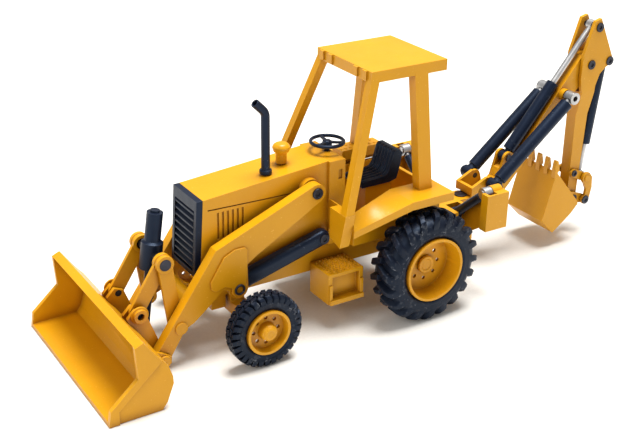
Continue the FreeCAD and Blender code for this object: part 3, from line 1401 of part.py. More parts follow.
def check_and_write():
    faults = [f"{item.Label}: {item.State}" for item in doc.Objects
              if "Invalid" in item.State or "Error" in item.State]
    for body in NODES:
        if body.Shape.isNull() or not body.Shape.isValid() or not body.Shape.Solids:
            faults.append(f"{body.Label}: no valid solid")
    if faults:
        raise RuntimeError("; ".join(faults))
    os.makedirs("parts", exist_ok=True)
    whole = FreeCAD.BoundBox()
    for body in NODES:
        body.Shape.exportStep(f"parts/{body.Label}.step")
        whole.add(body.Shape.BoundBox)
    print(f"{len(NODES)} nodes, X {whole.XMin:.2f} to {whole.XMax:.2f}, Y {whole.YMin:.2f} to "
          f"{whole.YMax:.2f}, Z {whole.ZMin:.2f} to {whole.ZMax:.2f}")


build()
check_and_write()
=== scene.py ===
import json
import math

import bmesh
import bpy
from mathutils import Matrix, Vector


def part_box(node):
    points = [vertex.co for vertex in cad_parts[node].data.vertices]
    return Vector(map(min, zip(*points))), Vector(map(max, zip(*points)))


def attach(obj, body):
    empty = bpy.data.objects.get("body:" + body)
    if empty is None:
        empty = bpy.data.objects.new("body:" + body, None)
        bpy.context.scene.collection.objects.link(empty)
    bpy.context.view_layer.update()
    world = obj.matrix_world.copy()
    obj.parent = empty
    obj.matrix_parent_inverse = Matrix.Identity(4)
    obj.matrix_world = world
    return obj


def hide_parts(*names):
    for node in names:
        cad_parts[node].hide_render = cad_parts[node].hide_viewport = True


MM = 0.001
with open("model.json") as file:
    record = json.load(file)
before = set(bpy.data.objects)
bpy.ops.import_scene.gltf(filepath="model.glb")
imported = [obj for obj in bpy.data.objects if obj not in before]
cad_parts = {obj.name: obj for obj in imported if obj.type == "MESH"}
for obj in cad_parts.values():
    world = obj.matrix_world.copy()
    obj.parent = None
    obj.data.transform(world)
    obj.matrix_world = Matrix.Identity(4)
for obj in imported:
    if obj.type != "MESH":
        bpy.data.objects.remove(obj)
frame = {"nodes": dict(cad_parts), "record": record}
NODES = frame["nodes"]
RECORD = frame["record"]
SLOT_OF = {part["node"]: part["material_slot"] for part in RECORD["subparts"]}
BODY_OF = {node: body for body, nodes in RECORD["behaviour"]["bodies"].items() for node in nodes}
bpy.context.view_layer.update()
SIDES = (("left", 1), ("right", -1))


# ---------------------------------------------------------------- camera
CAMERA_AZIMUTH = 57.51
CAMERA_HEIGHT = 25.23
CAMERA_DISTANCE = 252.4 * MM
CAMERA_ROLL = 0.91
CAMERA_LENS = 62.8
CAMERA_AIM = Vector((11.2, -1.2, 19.2)) * MM


def make_camera():
    """Looks down at the left side of the nose, with a slight roll."""
    turn, lift, roll = (math.radians(a) for a in (CAMERA_AZIMUTH, CAMERA_HEIGHT, CAMERA_ROLL))
    back = Vector((math.cos(turn) * math.cos(lift), math.sin(turn) * math.cos(lift), math.sin(lift)))
    right = (-back).cross(Vector((0, 0, 1))).normalized()
    up = right.cross(-back)
    right, up = right * math.cos(roll) + up * math.sin(roll), up * math.cos(roll) - right * math.sin(roll)
    data = bpy.data.cameras.new("camera")
    data.lens, data.sensor_width = CAMERA_LENS, 36
    data.clip_start, data.clip_end = 0.01, 10
    camera = bpy.data.objects.new("camera", data)
    turned = Matrix((right, up, back)).transposed().to_4x4()
    camera.matrix_world = Matrix.Translation(CAMERA_AIM + back * CAMERA_DISTANCE) @ turned
    bpy.context.collection.objects.link(camera)
    bpy.context.scene.camera = camera
    bpy.context.scene.view_settings.view_transform = "Standard"


# ---------------------------------------------------------------- materials
class Nodes:
    """A material's node tree, with short calls to add and join nodes."""

    def __init__(self, name):
        self.material = bpy.data.materials.new(name)
        self.material.use_nodes = True
        self.tree = self.material.node_tree
        self.shader = self.tree.nodes["Principled BSDF"]
        self.place = self.add("ShaderNodeTexCoord").outputs["Object"]

    def add(self, kind, **inputs):
        node = self.tree.nodes.new(kind)
        for name, value in inputs.items():
            self.set(node, name.replace("_", " "), value)
        return node

    def set(self, node, name, value):
        if isinstance(value, bpy.types.NodeSocket):
            self.tree.links.new(value, node.inputs[name])
        else:
            node.inputs[name].default_value = value

    def noise(self, scale, detail=3.0, rough=0.55):
        node = self.add("ShaderNodeTexNoise", Vector=self.place, Scale=scale, Detail=detail,
                        Roughness=rough)
        return node.outputs["Fac"]

    def ramp(self, value, low, high):
        """0 below low, 1 above high."""
        node = self.add("ShaderNodeMapRange", Value=value)
        node.inputs["From Min"].default_value = low
        node.inputs["From Max"].default_value = high
        return node.outputs["Result"]

    def math(self, operation, first, second=0.5):
        node = self.tree.nodes.new("ShaderNodeMath")
        node.operation = operation
        for socket, value in zip(node.inputs, (first, second)):
            if isinstance(value, bpy.types.NodeSocket):
                self.tree.links.new(value, socket)
            else:
                socket.default_value = value
        return node.outputs[0]

    def mix(self, factor, first, second, blend="MIX"):
        node = self.tree.nodes.new("ShaderNodeMix")
        node.data_type, node.blend_type = "RGBA", blend
        for index, value in ((0, factor), (6, first), (7, second)):
            if isinstance(value, bpy.types.NodeSocket):
                self.tree.links.new(value, node.inputs[index])
            else:
                node.inputs[index].default_value = value
        return node.outputs[2]

    def edges(self, radius):
        """1 on sharp edges and corners, 0 on flat faces."""
        bevel = self.tree.nodes.new("ShaderNodeBevel")
        bevel.samples = 6
        bevel.inputs["Radius"].default_value = radius
        flat = self.tree.nodes.new("ShaderNodeNewGeometry")
        dot = self.tree.nodes.new("ShaderNodeVectorMath")
        dot.operation = "DOT_PRODUCT"
        self.tree.links.new(bevel.outputs[0], dot.inputs[0])
        self.tree.links.new(flat.outputs["Normal"], dot.inputs[1])
        return self.math("SUBTRACT", 1.0, dot.outputs["Value"])

    def painted_shade_mask(self, distance):
        """Occlusion mask for painted shade: 1 in the open, towards 0 in corners and gaps."""
        node = self.tree.nodes.new("ShaderNodeAmbientOcclusion")
        node.samples = 6
        node.inputs["Distance"].default_value = distance
        return node.outputs["AO"]

    def bump(self, height, strength, distance):
        node = self.add("ShaderNodeBump", Height=height, Strength=strength, Distance=distance)
        self.tree.links.new(node.outputs["Normal"], self.shader.inputs["Normal"])

    def finish(self, colour, roughness, **more):
        self.set(self.shader, "Base Color", colour)
        self.set(self.shader, "Roughness", roughness)
        for name, value in more.items():
            self.set(self.shader, name.replace("_", " "), value)
        return self.material


BLUE_SHEEN = (0.5, 0.68, 1.0, 1)


def paint(name, colour, deep_tone_and_shade, chip):
    """Enamel on die-cast metal: painted shade, darker and browner in corners, paler along edges, a few
    specks.
    """
    made = Nodes(name)
    clouds = made.ramp(made.noise(55, 3), 0.3, 0.75)
    base = made.mix(made.math("MULTIPLY", clouds, 0.22), colour, deep_tone_and_shade)
    # Painted shade: corners and gaps take the deep colour, from an occlusion mask.
    clear_of_painted_shade = made.ramp(made.painted_shade_mask(2.4 * MM), 0.25, 0.95)
    base = made.mix(clear_of_painted_shade, deep_tone_and_shade, base)
    worn = made.math("MULTIPLY", made.ramp(made.edges(0.22 * MM), 0.02, 0.16),
                     made.ramp(made.noise(900, 2), 0.35, 0.6))
    base = made.mix(made.math("MULTIPLY", worn, 0.35), base, chip)
    specks = made.ramp(made.noise(2600, 1), 0.735, 0.76)
    base = made.mix(made.math("MULTIPLY", specks, 0.5), base, chip)
    rough = made.math("ADD", made.math("MULTIPLY", made.noise(240, 4), 0.22), 0.27)
    height = made.math("ADD", made.noise(1500, 3), made.math("MULTIPLY", made.noise(330, 2), 0.7))
    made.bump(height, 0.22, 0.12 * MM)
    return made.finish(base, rough, Coat_Weight=0.05, Coat_Roughness=0.2, Specular_IOR_Level=0.28)


def moulded(name, colour, dust, shine):
    """Moulded plastic: satin, with fine grain, handling dust and slightly rubbed edges."""
    made = Nodes(name)
    base = made.mix(made.ramp(made.noise(80, 3), 0.35, 0.8), colour, [c * 1.35 for c in colour[:3]] + [1])
    flecks = made.math("MULTIPLY", made.ramp(made.noise(1900, 2), 0.66, 0.72),
                       made.ramp(made.noise(190, 2), 0.42, 0.62))
    base = made.mix(made.math("MULTIPLY", flecks, 0.35), base, dust)
    rubbed = made.math("MULTIPLY", made.ramp(made.edges(0.25 * MM), 0.02, 0.2), 0.18)
    base = made.mix(rubbed, base, dust)
    rough = made.math("ADD", made.math("MULTIPLY", made.noise(420, 3), 0.25), shine)
    made.bump(made.noise(2100, 3), 0.25, 0.08 * MM)
    return made.finish(base, rough, Specular_IOR_Level=0.3, Specular_Tint=BLUE_SHEEN)


def rubber(name):
    """Soft black vinyl with pale dust caught on its blocks."""
    made = Nodes(name)
    black, dust = (0.002, 0.0034, 0.009, 1), (0.36, 0.38, 0.42, 1)
    base = made.mix(made.ramp(made.noise(120, 3), 0.3, 0.8), black, (0.008, 0.010, 0.018, 1))
    edge = made.ramp(made.edges(0.3 * MM), 0.02, 0.2)
    patchy = made.math("MULTIPLY", made.ramp(made.noise(1300, 2), 0.56, 0.62),
                       made.ramp(made.noise(210, 2), 0.46, 0.6))
    dusty = made.math("MULTIPLY", made.math("ADD", edge, 0.2), made.math("MULTIPLY", patchy, 0.45))
    base = made.mix(dusty, base, dust)
    rough = made.math("ADD", made.math("MULTIPLY", made.noise(300, 3), 0.3), 0.33)
    made.bump(made.noise(1400, 4), 0.4, 0.1 * MM)
    return made.finish(base, rough, Specular_IOR_Level=0.26, Specular_Tint=BLUE_SHEEN)


def metal(name, colour, roughness, streak):
    """Plain or plated metal with fine turning marks, faint tarnish and painted shade in corners."""
    made = Nodes(name)
    base = made.mix(made.ramp(made.noise(260, 4), 0.35, 0.75), colour, [c * 0.62 for c in colour[:3]] + [1])
    # Painted shade: corners and gaps darken to a quarter of the colour.
    clear_of_metal_shade = made.ramp(made.painted_shade_mask(1.2 * MM), 0.1, 0.9)
    base = made.mix(clear_of_metal_shade, [c * 0.25 for c in colour[:3]] + [1], base)
    rough = made.math("ADD", made.math("MULTIPLY", made.noise(900, 2), 0.2), roughness)
    made.bump(made.noise(streak, 2), 0.15, 0.05 * MM)
    return made.finish(base, rough, Metallic=1.0)


YELLOW = (0.64, 0.302, 0.003, 1)
MATERIALS = {
    # The second colour is the deep tone, and also the painted shade in corners.
    "yellow": paint("yellow_enamel", YELLOW, (0.27, 0.088, 0.001, 1), (0.86, 0.50, 0.08, 1)),
    "navy": moulded("navy_moulding", (0.0045, 0.0075, 0.018, 1), (0.16, 0.18, 0.22, 1), 0.26),
    "tyre": rubber("tyre_rubber"),
    "steel": metal("plated_rod", (0.60, 0.60, 0.61, 1), 0.30, 2500),
    "rivet": metal("blackened_rivet", (0.055, 0.058, 0.075, 1), 0.34, 1800),
}


# ---------------------------------------------------------------- pieces
WELD_DISTANCE = 2e-6
CAST_ROUNDING = 0.18 * MM
SHARP_ROUNDING = 0.08 * MM
REAR_LUG_HEIGHT = 1.25 * MM
FRONT_BLOCK_HEIGHT = 0.95 * MM
REAR_LUG_PAIRS = 20
FRONT_BLOCK_ROWS = 30
BUCKET_EAR_OUTSIDE = 10.5


def add_piece(name, mesh, body, slot, angle=35):
    """Link a mesh as a piece of the object that rides on a body."""
    piece = bpy.data.objects.new(name, mesh)
    bpy.context.collection.objects.link(piece)
    mesh.materials.clear()
    mesh.materials.append(MATERIALS[slot])
    for face in mesh.polygons:
        face.use_smooth = True
        face.material_index = 0
    mesh.set_sharp_from_angle(angle=math.radians(angle))
    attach(piece, body)
    return piece


def round_over(piece, width, segments=2, angle=32):
    bevel = piece.modifiers.new("rounding", "BEVEL")
    bevel.width, bevel.segments = width, segments
    bevel.limit_method, bevel.angle_limit = "ANGLE", math.radians(angle)
    bevel.use_clamp_overlap = True
    bevel.harden_normals = True


def cast_copy(node, width):
    """The CAD piece as it comes from the mould: the same faces with rounded edges."""
    mesh = NODES[node].data.copy()
    form = bmesh.new()
    form.from_mesh(mesh)
    bmesh.ops.remove_doubles(form, verts=form.verts, dist=WELD_DISTANCE)
    bmesh.ops.dissolve_limit(form, angle_limit=math.radians(0.6), verts=form.verts, edges=form.edges)
    form.to_mesh(mesh)
    form.free()
    facet = 17 if node.startswith("fender") else 30
    piece = add_piece(f"{node}_cast", mesh, BODY_OF[node], SLOT_OF[node], facet)
    round_over(piece, width, 2, facet)
    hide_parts(node)
    return piece


def mesh_of(name, points, faces):
    mesh = bpy.data.meshes.new(name)
    mesh.from_pydata(points, [], faces)
    mesh.validate()
    return mesh


def lathe(name, centre, profile, count=96):
    """Turn (radius, y) points about a line through centre along Y."""
    points, faces = [], []
    for step in range(count):
        angle = math.tau * step / count
        points += [centre + Vector((r * math.cos(angle), y, r * math.sin(angle))) for r, y in profile]
    size = len(profile)
    for step in range(count):
        here, after = step * size, (step + 1) % count * size
        for item in range(size):
            other = (item + 1) % size
            faces.append((here + item, after + item, after + other, here + other))
    return mesh_of(name, points, faces)


def tread_bar(centre, angle, sweep, rows, thick):
    """One lug: rows of (y, base radius, top radius), swept round as it goes outwards."""
    points, faces = [], []
    for number, (y, base, top) in enumerate(rows):
        lean = angle + sweep * number / (len(rows) - 1)
        for radius, half in ((base, thick * 0.62), (top, thick * 0.5)):
            for way in (-1, 1):
                turn = lean + way * half / radius
                points.append(centre + Vector((radius * math.cos(turn), y, radius * math.sin(turn))))
    for number in range(len(rows) - 1):
        a, b = number * 4, number * 4 + 4
        faces += [(a, a + 2, b + 2, b), (a + 2, a + 3, b + 3, b + 2), (a + 3, a + 1, b + 1, b + 3),
                  (a + 1, a, b, b + 1)]
    last = len(rows) * 4 - 4
    faces += [(0, 1, 3, 2), (last, last + 2, last + 3, last + 1)]
    return points, faces


def join_shapes(name, shapes):
    points, faces = [], []
    for some_points, some_faces in shapes:
        start = len(points)
        points += some_points
        faces += [tuple(start + index for index in face) for face in some_faces]
    mesh = mesh_of(name, points, faces)
    form = bmesh.new()
    form.from_mesh(mesh)
    bmesh.ops.recalc_face_normals(form, faces=form.faces)
    form.to_mesh(mesh)
    form.free()
    return mesh


def wheel_facts(node):
    low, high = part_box(node)
    low, high = Vector(low), Vector(high)
    middle = (low + high) / 2
    radius = (high.z - low.z) / 2
    return Vector((middle.x, 0, middle.z)), radius, low.y, high.y


def rear_tyre(name, side):
    node = f"rear_tyre_{name}"
    centre, radius, low, high = wheel_facts(node)
    rim = wheel_facts(f"rear_rim_{name}")[1]
    inner, outer = (low, high) if side > 0 else (high, low)

    def at(share):
        return inner + (outer - inner) * share
    tread = radius - REAR_LUG_HEIGHT
    profile = [(rim, at(0.12)), (rim + 0.5 * MM, at(0.03)), (rim + 2.2 * MM, at(0.0)),
               (tread - 1.3 * MM, at(0.03)), (tread - 0.3 * MM, at(0.13)),
               (tread, at(0.32)), (tread + 0.1 * MM, at(0.5)), (tread, at(0.68)),
               (tread - 0.3 * MM, at(0.87)), (tread - 1.3 * MM, at(0.97)), (rim + 2.2 * MM, at(1.0)),
               (rim + 1.5 * MM, at(0.985)), (rim + 1.35 * MM, at(0.995)), (rim + 0.6 * MM, at(0.985)),
               (rim + 0.35 * MM, at(0.95)), (rim - 0.15 * MM, at(0.9))]
    add = add_piece(f"{node}_carcass", lathe(node, centre, profile), f"rear_wheel_{name}", "tyre", 50)
    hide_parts(node)
    lugs = []
    for number in range(REAR_LUG_PAIRS):
        for way in (0, 1):
            angle = math.tau * (number + 0.5 * way) / REAR_LUG_PAIRS
            shares = (0.47, 0.62, 0.78, 0.9, 0.965, 0.99)
            heights = (0.0, 0.0, 0.0, 0.35, 1.1, 2.5)
            rows = []
            for share, drop in zip(shares, heights):
                place = share if way else 1 - share
                top = radius - drop * MM
                rows.append((at(place), top - 1.75 * MM, top))
            lugs.append(tread_bar(centre, angle, -0.20, rows, 1.35 * MM))
    piece = add_piece(f"{node}_lugs", join_shapes(f"{node}_lugs", lugs), f"rear_wheel_{name}", "tyre", 30)
    round_over(piece, 0.14 * MM, 1)


def front_tyre(name, side):
    node = f"front_tyre_{name}"
    centre, radius, low, high = wheel_facts(node)
    rim = wheel_facts(f"front_rim_{name}")[1]
    inner, outer = (low, high) if side > 0 else (high, low)

    def at(share):
        return inner + (outer - inner) * share
    tread = radius - FRONT_BLOCK_HEIGHT
    profile = [(rim, at(0.12)), (rim + 0.4 * MM, at(0.02)), (rim + 1.5 * MM, at(0.0)),
               (tread - 0.6 * MM, at(0.05)),
               (tread, at(0.16)), (tread, at(0.5)), (tread, at(0.84)), (tread - 0.6 * MM, at(0.95)),
               (rim + 1.7 * MM, at(1.0)), (rim + 1.5 * MM, at(0.97)), (rim + 0.8 * MM, at(0.975)),
               (rim + 0.3 * MM, at(0.94)), (rim - 0.1 * MM, at(0.86))]
    add = add_piece(f"{node}_carcass", lathe(node, centre, profile), f"front_wheel_{name}", "tyre", 50)
    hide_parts(node)
    blocks = []
    bands = ((0.01, 0.24, 0.0, 0.62), (0.27, 0.48, 0.5, 0.8), (0.52, 0.73, 0.0, 0.8),
             (0.76, 0.99, 0.5, 0.62))
    for number in range(FRONT_BLOCK_ROWS):
        for start, end, shift, share in bands:
            angle = math.tau * (number + shift) / FRONT_BLOCK_ROWS
            thick = math.tau * radius / FRONT_BLOCK_ROWS * share
            rows = []
            for place in (start, (start + end) / 2, end):
                drop = max(0.0, abs(place - 0.5) - 0.36) * 4.5 * MM
                rows.append((at(place), radius - drop - 1.3 * MM, radius - drop))
            blocks.append(tread_bar(centre, angle, 0.05 if shift else -0.05, rows, thick))
    piece = add_piece(f"{node}_blocks", join_shapes(f"{node}_blocks", blocks), f"front_wheel_{name}",
                      "tyre", 30)
    round_over(piece, 0.09 * MM, 1)


# ---------------------------------------------------------------- castings in detail
def turned(name, x, z, side, profile, body, slot, count=48, width=0.08):
    """A turned piece on a pivot at x, z: (radius, y) in millimetres, on one side."""
    points = [(max(r, 0.001) * MM, side * y * MM) for r, y in profile]
    mesh = lathe(name, Vector((x, 0, z)) * MM, points, count)
    form = bmesh.new()
    form.from_mesh(mesh)
    bmesh.ops.remove_doubles(form, verts=form.verts, dist=WELD_DISTANCE)
    bmesh.ops.recalc_face_normals(form, faces=form.faces)
    form.to_mesh(mesh)
    form.free()
    piece = add_piece(name, mesh, body, slot)
    round_over(piece, width * MM)
    return piece


def prism(outline, start, end):
    """Points and faces of an outline of (x, z) in millimetres, thickened along Y."""
    points = [Vector((x, y, z)) * MM for y in (start, end) for x, z in outline]
    size = len(outline)
    faces = [tuple(range(size)), tuple(range(2 * size - 1, size - 1, -1))]
    faces += [(i, (i + 1) % size, size + (i + 1) % size, size + i) for i in range(size)]
    return points, faces


def slab(name, outline, start, end, body, slot, width=0.15, segments=3):
    """A rounded piece with the shape of a prism."""
    piece = add_piece(name, join_shapes(name, [prism(outline, start, end)]), body, slot)
    round_over(piece, width * MM, segments)
    return piece


def pivot(joint):
    place = next(item for item in RECORD["behaviour"]["joints"] if item["name"] == joint)["pos_m"]
    return place[0] / MM, place[2] / MM


def hub_caps(name, side):
    x, z = pivot(f"front_wheel_{name}_spin")
    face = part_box("front_axle_beam")[1][1] / MM
    turned(f"front_hub_cap_{name}", x, z, side,
           [(0, face - 0.9), (1.9, face - 0.9), (1.75, face - 0.35), (1.25, face + 0.15), (0.8, face + 0.2),
            (0.7, face + 0.08), (0, face + 0.08)], f"front_wheel_{name}", "yellow", 10)
    x, z = pivot(f"rear_wheel_{name}_spin")
    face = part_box("rear_axle_shaft")[1][1] / MM
    turned(f"rear_hub_ring_{name}", x, z, side,
           [(0, face - 0.4), (2.1, face - 0.4), (2.05, face + 0.1), (1.9, face + 0.22), (1.35, face + 0.22),
            (1.2, face + 0.06), (0, face + 0.04)], f"rear_wheel_{name}", "yellow")


def ring_rivet(name, x, z, side, base, body, size=1.25):
    """Tubular rivet: its end is rolled over into a ring round a dark hole."""
    turned(name, x, z, side,
           [(0, base - 0.2), (size, base - 0.2), (size, base + 0.3), (size - 0.2, base + 0.48),
            (size - 0.38, base + 0.48), (size - 0.5, base + 0.3), (size - 0.52, base - 0.1),
            (0, base - 0.1)], body, "rivet")


def arm_details(name, side):
    """Raised pad at the elbow, and the round bosses over the pins."""
    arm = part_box(f"loader_arm_{name}")
    outside = max(abs(arm[0][1]), abs(arm[1][1])) / MM
    foot_x, foot_z = pivot("bucket_tilt")
    pin_x, pin_z = foot_x - 18.1, foot_z + 11.4
    around = [(pin_x + 1.85 * math.cos(a), pin_z + 1.85 * math.sin(a))
              for a in (math.radians(d) for d in (20, -20, -60, -100, -140, -180, -215))]
    outline = [(pin_x - 2.0, pin_z + 8.8), (pin_x - 1.4, pin_z + 9.5), (pin_x + 0.9, pin_z + 9.5),
               (pin_x + 3.5, pin_z + 8.3), (pin_x + 6.7, pin_z + 3.3), (pin_x + 6.5, pin_z + 1.6),
               (pin_x + 5.6, pin_z + 0.9), (pin_x + 3.4, pin_z + 1.5)]
    outline += around + [(pin_x - 1.9, pin_z + 5.6)]
    slab(f"arm_pad_{name}", outline, side * (outside - 0.3), side * (outside + 0.42), "loader_arms",
         "yellow", 0.12, 2)
    ring_rivet(f"lift_rivet_{name}", pin_x, pin_z, side, outside + 0.3, "loader_arms")
    x, z = pivot("loader_lift")
    ring_rivet(f"arm_rivet_{name}", x, z, side, outside, "tractor")
    ear = BUCKET_EAR_OUTSIDE
    turned(f"bucket_pin_cap_{name}", foot_x, foot_z, side,
           [(0, ear), (1.4, ear + 0.05), (1.3, ear + 0.5), (0, ear + 0.55)], "loader_arms", "yellow")
    x, z = pivot("tilt_lever_turn")
    turned(f"lever_boss_{name}", x, z, side,
           [(0, outside - 0.2), (1.45, outside - 0.2), (1.4, outside + 0.33), (0, outside + 0.35)],
           "loader_arms", "yellow")
    x, z = pivot("tilt_barrel_turn")
    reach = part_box("tilt_trunnion")[1][1] / MM
    turned(f"trunnion_boss_{name}", x, z, side,
           [(1.2, reach - 2.4), (1.95, reach - 2.4), (1.95, reach - 1.5), (1.7, reach - 1.35),
            (1.7, reach - 1.05), (1.95, reach - 0.9), (1.95, reach - 0.12), (1.2, reach - 0.12)],
           "tilt_lever", "yellow")
    x, z = pivot("tilt_link_turn")
    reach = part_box("bucket_link_pins")[1][1] / MM
    turned(f"link_boss_{name}", x, z, side,
           [(0.75, reach - 0.3), (1.95, reach - 0.3), (1.95, reach + 0.1), (1.5, reach + 0.25),
            (1.5, reach + 0.75), (0.75, reach + 0.75)], "loader_bucket", "yellow")


def seat_cushion():
    """Moulded seat: long ribs run along the cushion and on up the back."""
    low, high = (Vector(v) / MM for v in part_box("seat"))
    half = high.y
    front, base = high.x, low.z
    top = [(0.0, 0.25), (0.0, 1.05), (-0.45, 1.62), (-2.6, 1.72), (-5.2, 1.85), (-6.6, 2.15), (-7.2, 2.9),
           (-7.75, 4.6), (-8.3, 6.4), (-8.6, 7.15), (-9.1, 7.42)]
    under = [(-0.3, 0.02), (-0.5, 0.05), (-1.2, 0.05), (-3.4, 0.05), (-6.0, 0.05), (-7.9, 0.1), (-9.6, 0.6),
             (-10.2, 2.6), (-10.7, 5.0), (-10.95, 6.7), (-10.3, 7.42)]
    points, faces = [], []
    count = 72
    for column in range(count + 1):
        across = -1 + 2 * column / count
        pull = 0.25 * abs(across) ** 10
        rib = 0.42 * (abs(math.sin(across * math.pi * 3.125)) ** 0.7 - 1) * (abs(across) < 0.8)
        for index, (x, z) in enumerate(top):
            ahead = top[min(index + 1, len(top) - 1)]
            behind = top[max(index - 1, 0)]
            along = Vector((ahead[0] - behind[0], ahead[1] - behind[1])).normalized()
            out = Vector((along.y, -along.x))
            fade = {0: 0.1, 1: 0.6, len(top) - 2: 0.6, len(top) - 1: 0.0}.get(index, 1)
            depth = rib * fade - pull * min(fade, 0.6)
            points.append(Vector((front + x + out.x * depth, half * across, base + z + out.y * depth)) * MM)
        for x, z in under:
            points.append(Vector((front + x, half * (across - 0.03 * pull * across), base + z)) * MM)
    size = len(top)
    ring = list(range(size)) + list(range(2 * size - 1, size - 1, -1))
    for column in range(count):
        here, after = column * 2 * size, (column + 1) * 2 * size
        for item in range(len(ring)):
            a, b = ring[item], ring[(item + 1) % len(ring)]
            faces.append((here + a, here + b, after + b, after + a))
    last = count * 2 * size
    faces += [tuple(ring), tuple(last + item for item in reversed(ring))]
    piece = add_piece("seat_moulding", join_shapes("seat_moulding", [(points, faces)]), "tractor",
                      "navy", 60)
    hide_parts("seat")


def steering_ring():
    """Round rim, three thin spokes and a small hub."""
    x, z = pivot("steering_wheel_turn")
    radius, tube = 3.63, 0.40
    rim = [(radius + tube * math.cos(math.tau * n / 14), tube * math.sin(math.tau * n / 14))
           for n in range(14)]
    shapes = []

    def spin(profile, count):
        start = []
        faces = []
        size = len(profile)
        for step in range(count):
            angle = math.tau * step / count
            start += [Vector((x + r * math.cos(angle), r * math.sin(angle), z + up)) * MM
                      for r, up in profile]
            for item in range(size):
                other = (item + 1) % size
                after = (step + 1) % count
                faces.append((step * size + item, after * size + item,
                              after * size + other, step * size + other))
        shapes.append((start, faces))
    spin(rim, 72)
    spin([(0.01, 0.35), (0.75, 0.3), (1.05, 0.05), (1.1, -0.9), (0.6, -1.0), (0.6, -4.6), (0.01, -4.6)], 32)
    for turn in range(3):
        angle = math.tau * turn / 3 + math.radians(20)
        along = Vector((math.cos(angle), math.sin(angle), 0))
        across = Vector((-math.sin(angle), math.cos(angle), 0))
        points = []
        for reach, wide, drop in ((0.6, 0.42, -0.1), (2.0, 0.3, -0.12), (radius - 0.1, 0.34, 0.0)):
            for high in (0.22, -0.22):
                for way in (-1, 1):
                    points.append((Vector((x, 0, z)) + along * reach + across * wide * way
                                   + Vector((0, 0, drop + high))) * MM)
        faces = [(0, 1, 3, 2), (8, 10, 11, 9)]
        for part in (0, 4):
            faces += [(part, part + 4, part + 5, part + 1), (part + 1, part + 5, part + 7, part + 3),
                      (part + 3, part + 7, part + 6, part + 2), (part + 2, part + 6, part + 4, part)]
        shapes.append((points, faces))
    piece = add_piece("steering_ring", join_shapes("steering_ring", shapes), "steering_wheel", "navy", 50)
    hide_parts("steering_wheel")


def step_details(name, side):
    """Diamond tread on the top of the tool box step, and the ledge below its recess."""
    low, high = (Vector(v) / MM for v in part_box("steps"))
    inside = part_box("chassis_frame")[1][1] / MM
    shapes = []
    rows, columns = 9, 10
    for row in range(rows):
        for column in range(columns):
            x = low.x + 0.45 + (high.x - low.x - 0.9) * (column + 0.5 * (row % 2) + 0.25) / columns
            y = inside + 0.5 + (high.y - inside - 0.9) * (row + 0.5) / rows
            lean = 1 if (row + column) % 2 else -1
            points = []
            for size, up in ((1.0, -0.02), (0.4, 0.26)):
                for along, across in ((0.44, 0), (0, 0.19), (-0.44, 0), (0, -0.19)):
                    u, v = along * size, across * size
                    spot = (x + (u - v) * 0.7, side * (y + lean * (u + v) * 0.7), high.z + up)
                    points.append(Vector(spot) * MM)
            faces = [(4, 5, 6, 7), (0, 1, 2, 3)]
            faces += [(i, (i + 1) % 4, 4 + (i + 1) % 4, 4 + i) for i in range(4)]
            shapes.append((points, faces))
    add_piece(f"step_tread_{name}", join_shapes(f"step_tread_{name}", shapes), "tractor", "yellow")
    ledge = [(low.x + 0.15, low.z + 0.1), (high.x - 0.15, low.z + 0.1), (high.x - 0.15, low.z + 1.25),
             (low.x + 0.15, low.z + 1.25)]
    slab(f"step_ledge_{name}", ledge, side * (high.y - 0.4), side * (high.y + 0.75), "tractor",
         "yellow", 0.12)
    for number, x in enumerate((low.x + 0.15, high.x - 0.95)):
        cheek = [(x, low.z + 1.1), (x + 0.8, low.z + 1.1), (x + 0.8, high.z - 2.6), (x, high.z - 2.6)]
        slab(f"step_cheek_{name}_{number}", cheek, side * (high.y - 0.3), side * (high.y + 0.4),
             "tractor", "yellow", 0.1)


def bucket_relief(piece):
    """Sink the outer faces of the bucket's sides, leaving the edge band and the corner block proud."""
    foot_x, foot_z = pivot("bucket_tilt")
    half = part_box("loader_bucket")[1][1] / MM
    outline = [(foot_x + x, foot_z + z)
               for x, z in ((14.9, -0.1), (-1.8, 14.9), (-1.8, -4.1), (14.9, -4.1))]
    cutters = [prism(outline, side * (half - 0.35), side * (half + 2)) for _, side in SIDES]
    cutter = bpy.data.objects.new("bucket_cutter", join_shapes("bucket_cutter", cutters))
    bpy.context.collection.objects.link(cutter)
    cut = piece.modifiers.new("relief", "BOOLEAN")
    cut.operation, cut.solver, cut.object = "DIFFERENCE", "EXACT", cutter
    bevel = piece.modifiers["rounding"]
    bevel.show_viewport = False
    bpy.context.view_layer.update()
    mesh = bpy.data.meshes.new_from_object(piece.evaluated_get(bpy.context.evaluated_depsgraph_get()))
    bevel.show_viewport = True
    piece.modifiers.remove(cut)
    piece.data = mesh
    mesh.materials.clear()
    mesh.materials.append(MATERIALS["yellow"])
    mesh.set_sharp_from_angle(angle=math.radians(35))
    bpy.data.objects.remove(cutter)


def console_studs():
    """Two rows of small raised studs along the console on the right mudguard."""
    low, high = (Vector(v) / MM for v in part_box("fender_right"))
    shapes = []
    for row in range(2):
        for column in range(8):
            x, y = low.x + 1.6 + column * 1.35, high.y - 1.2 - row * 1.9
            points = []
            for radius, up in ((0.36, -0.05), (0.33, 0.12), (0.16, 0.16)):
                for n in range(10):
                    angle = math.tau * n / 10
                    spot = (x + radius * math.cos(angle), y + radius * math.sin(angle), high.z + up)
                    points.append(Vector(spot) * MM)
            faces = [tuple(range(20, 30)), tuple(range(9, -1, -1))]
            for level in (0, 10):
                faces += [(level + n, level + (n + 1) % 10, level + 10 + (n + 1) % 10, level + 10 + n)
                          for n in range(10)]
            shapes.append((points, faces))
    add_piece("console_studs", join_shapes("console_studs", shapes), "tractor", "yellow")


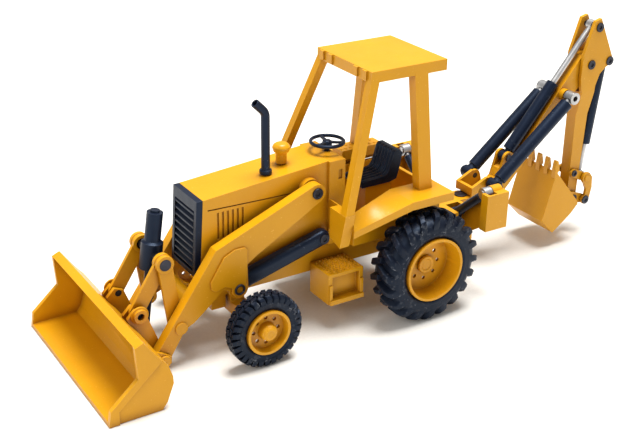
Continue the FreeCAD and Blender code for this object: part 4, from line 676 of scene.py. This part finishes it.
# ---------------------------------------------------------------- floor and light
def make_floor():
    """A pale sheet with a faint grain."""
    made = Nodes("table_top")
    grain = made.ramp(made.noise(1400, 3), 0.35, 0.75)
    base = made.mix(made.math("MULTIPLY", grain, 0.25), (0.80, 0.79, 0.76, 1), (0.62, 0.61, 0.58, 1))
    fibres = made.ramp(made.noise(3600, 2), 0.70, 0.73)
    base = made.mix(made.math("MULTIPLY", fibres, 0.3), base, (0.35, 0.33, 0.3, 1))
    made.bump(made.noise(900, 3), 0.15, 0.1 * MM)
    surface = made.finish(base, 0.75)
    size = 3.0
    mesh = mesh_of("floor", [Vector((x, y, 0)) * size for x, y in ((-1, -1), (1, -1), (1, 1), (-1, 1))],
                   [(0, 1, 2, 3)])
    floor = bpy.data.objects.new("floor", mesh)
    bpy.context.collection.objects.link(floor)
    mesh.materials.append(surface)


def add_light(name, place, size, power, colour=(1, 1, 1)):
    data = bpy.data.lights.new(name, "AREA")
    data.shape, data.size = "DISK", size
    data.energy, data.color = power, colour
    lamp = bpy.data.objects.new(name, data)
    lamp.location = Vector(place)
    lamp.rotation_mode = "QUATERNION"
    lamp.rotation_quaternion = Vector(place).to_track_quat("Z", "Y")
    bpy.context.collection.objects.link(lamp)


def make_light():
    world = bpy.data.worlds.new("soft_white")
    bpy.context.scene.world = world
    world.use_nodes = True
    background = world.node_tree.nodes["Background"]
    background.inputs["Color"].default_value = (1.0, 0.99, 0.97, 1)
    background.inputs["Strength"].default_value = 0.5
    add_light("overhead", (-0.10, -0.02, 0.75), 0.4, 10.0, (1.0, 0.985, 0.96))
    add_light("front_fill", (0.75, 0.18, 0.5), 0.5, 2.4, (1.0, 0.98, 0.95))


# ---------------------------------------------------------------- make it
make_camera()
make_light()
make_floor()
for side_name, side_sign in SIDES:
    rear_tyre(side_name, side_sign)
    front_tyre(side_name, side_sign)
    hub_caps(side_name, side_sign)
    arm_details(side_name, side_sign)
    step_details(side_name, side_sign)
seat_cushion()
steering_ring()
console_studs()
SHARP = {"chassis_pins", "loader_pins", "bucket_link_pins", "digger_link_pins", "swing_pins", "boom_pins",
         "stick_pins", "tilt_trunnion"}
for node_name in NODES:
    if "tyre" in node_name or node_name in ("seat", "steering_wheel"):
        continue
    cast = cast_copy(node_name, SHARP_ROUNDING if node_name in SHARP else CAST_ROUNDING)
    if node_name == "loader_bucket":
        bucket_relief(cast)
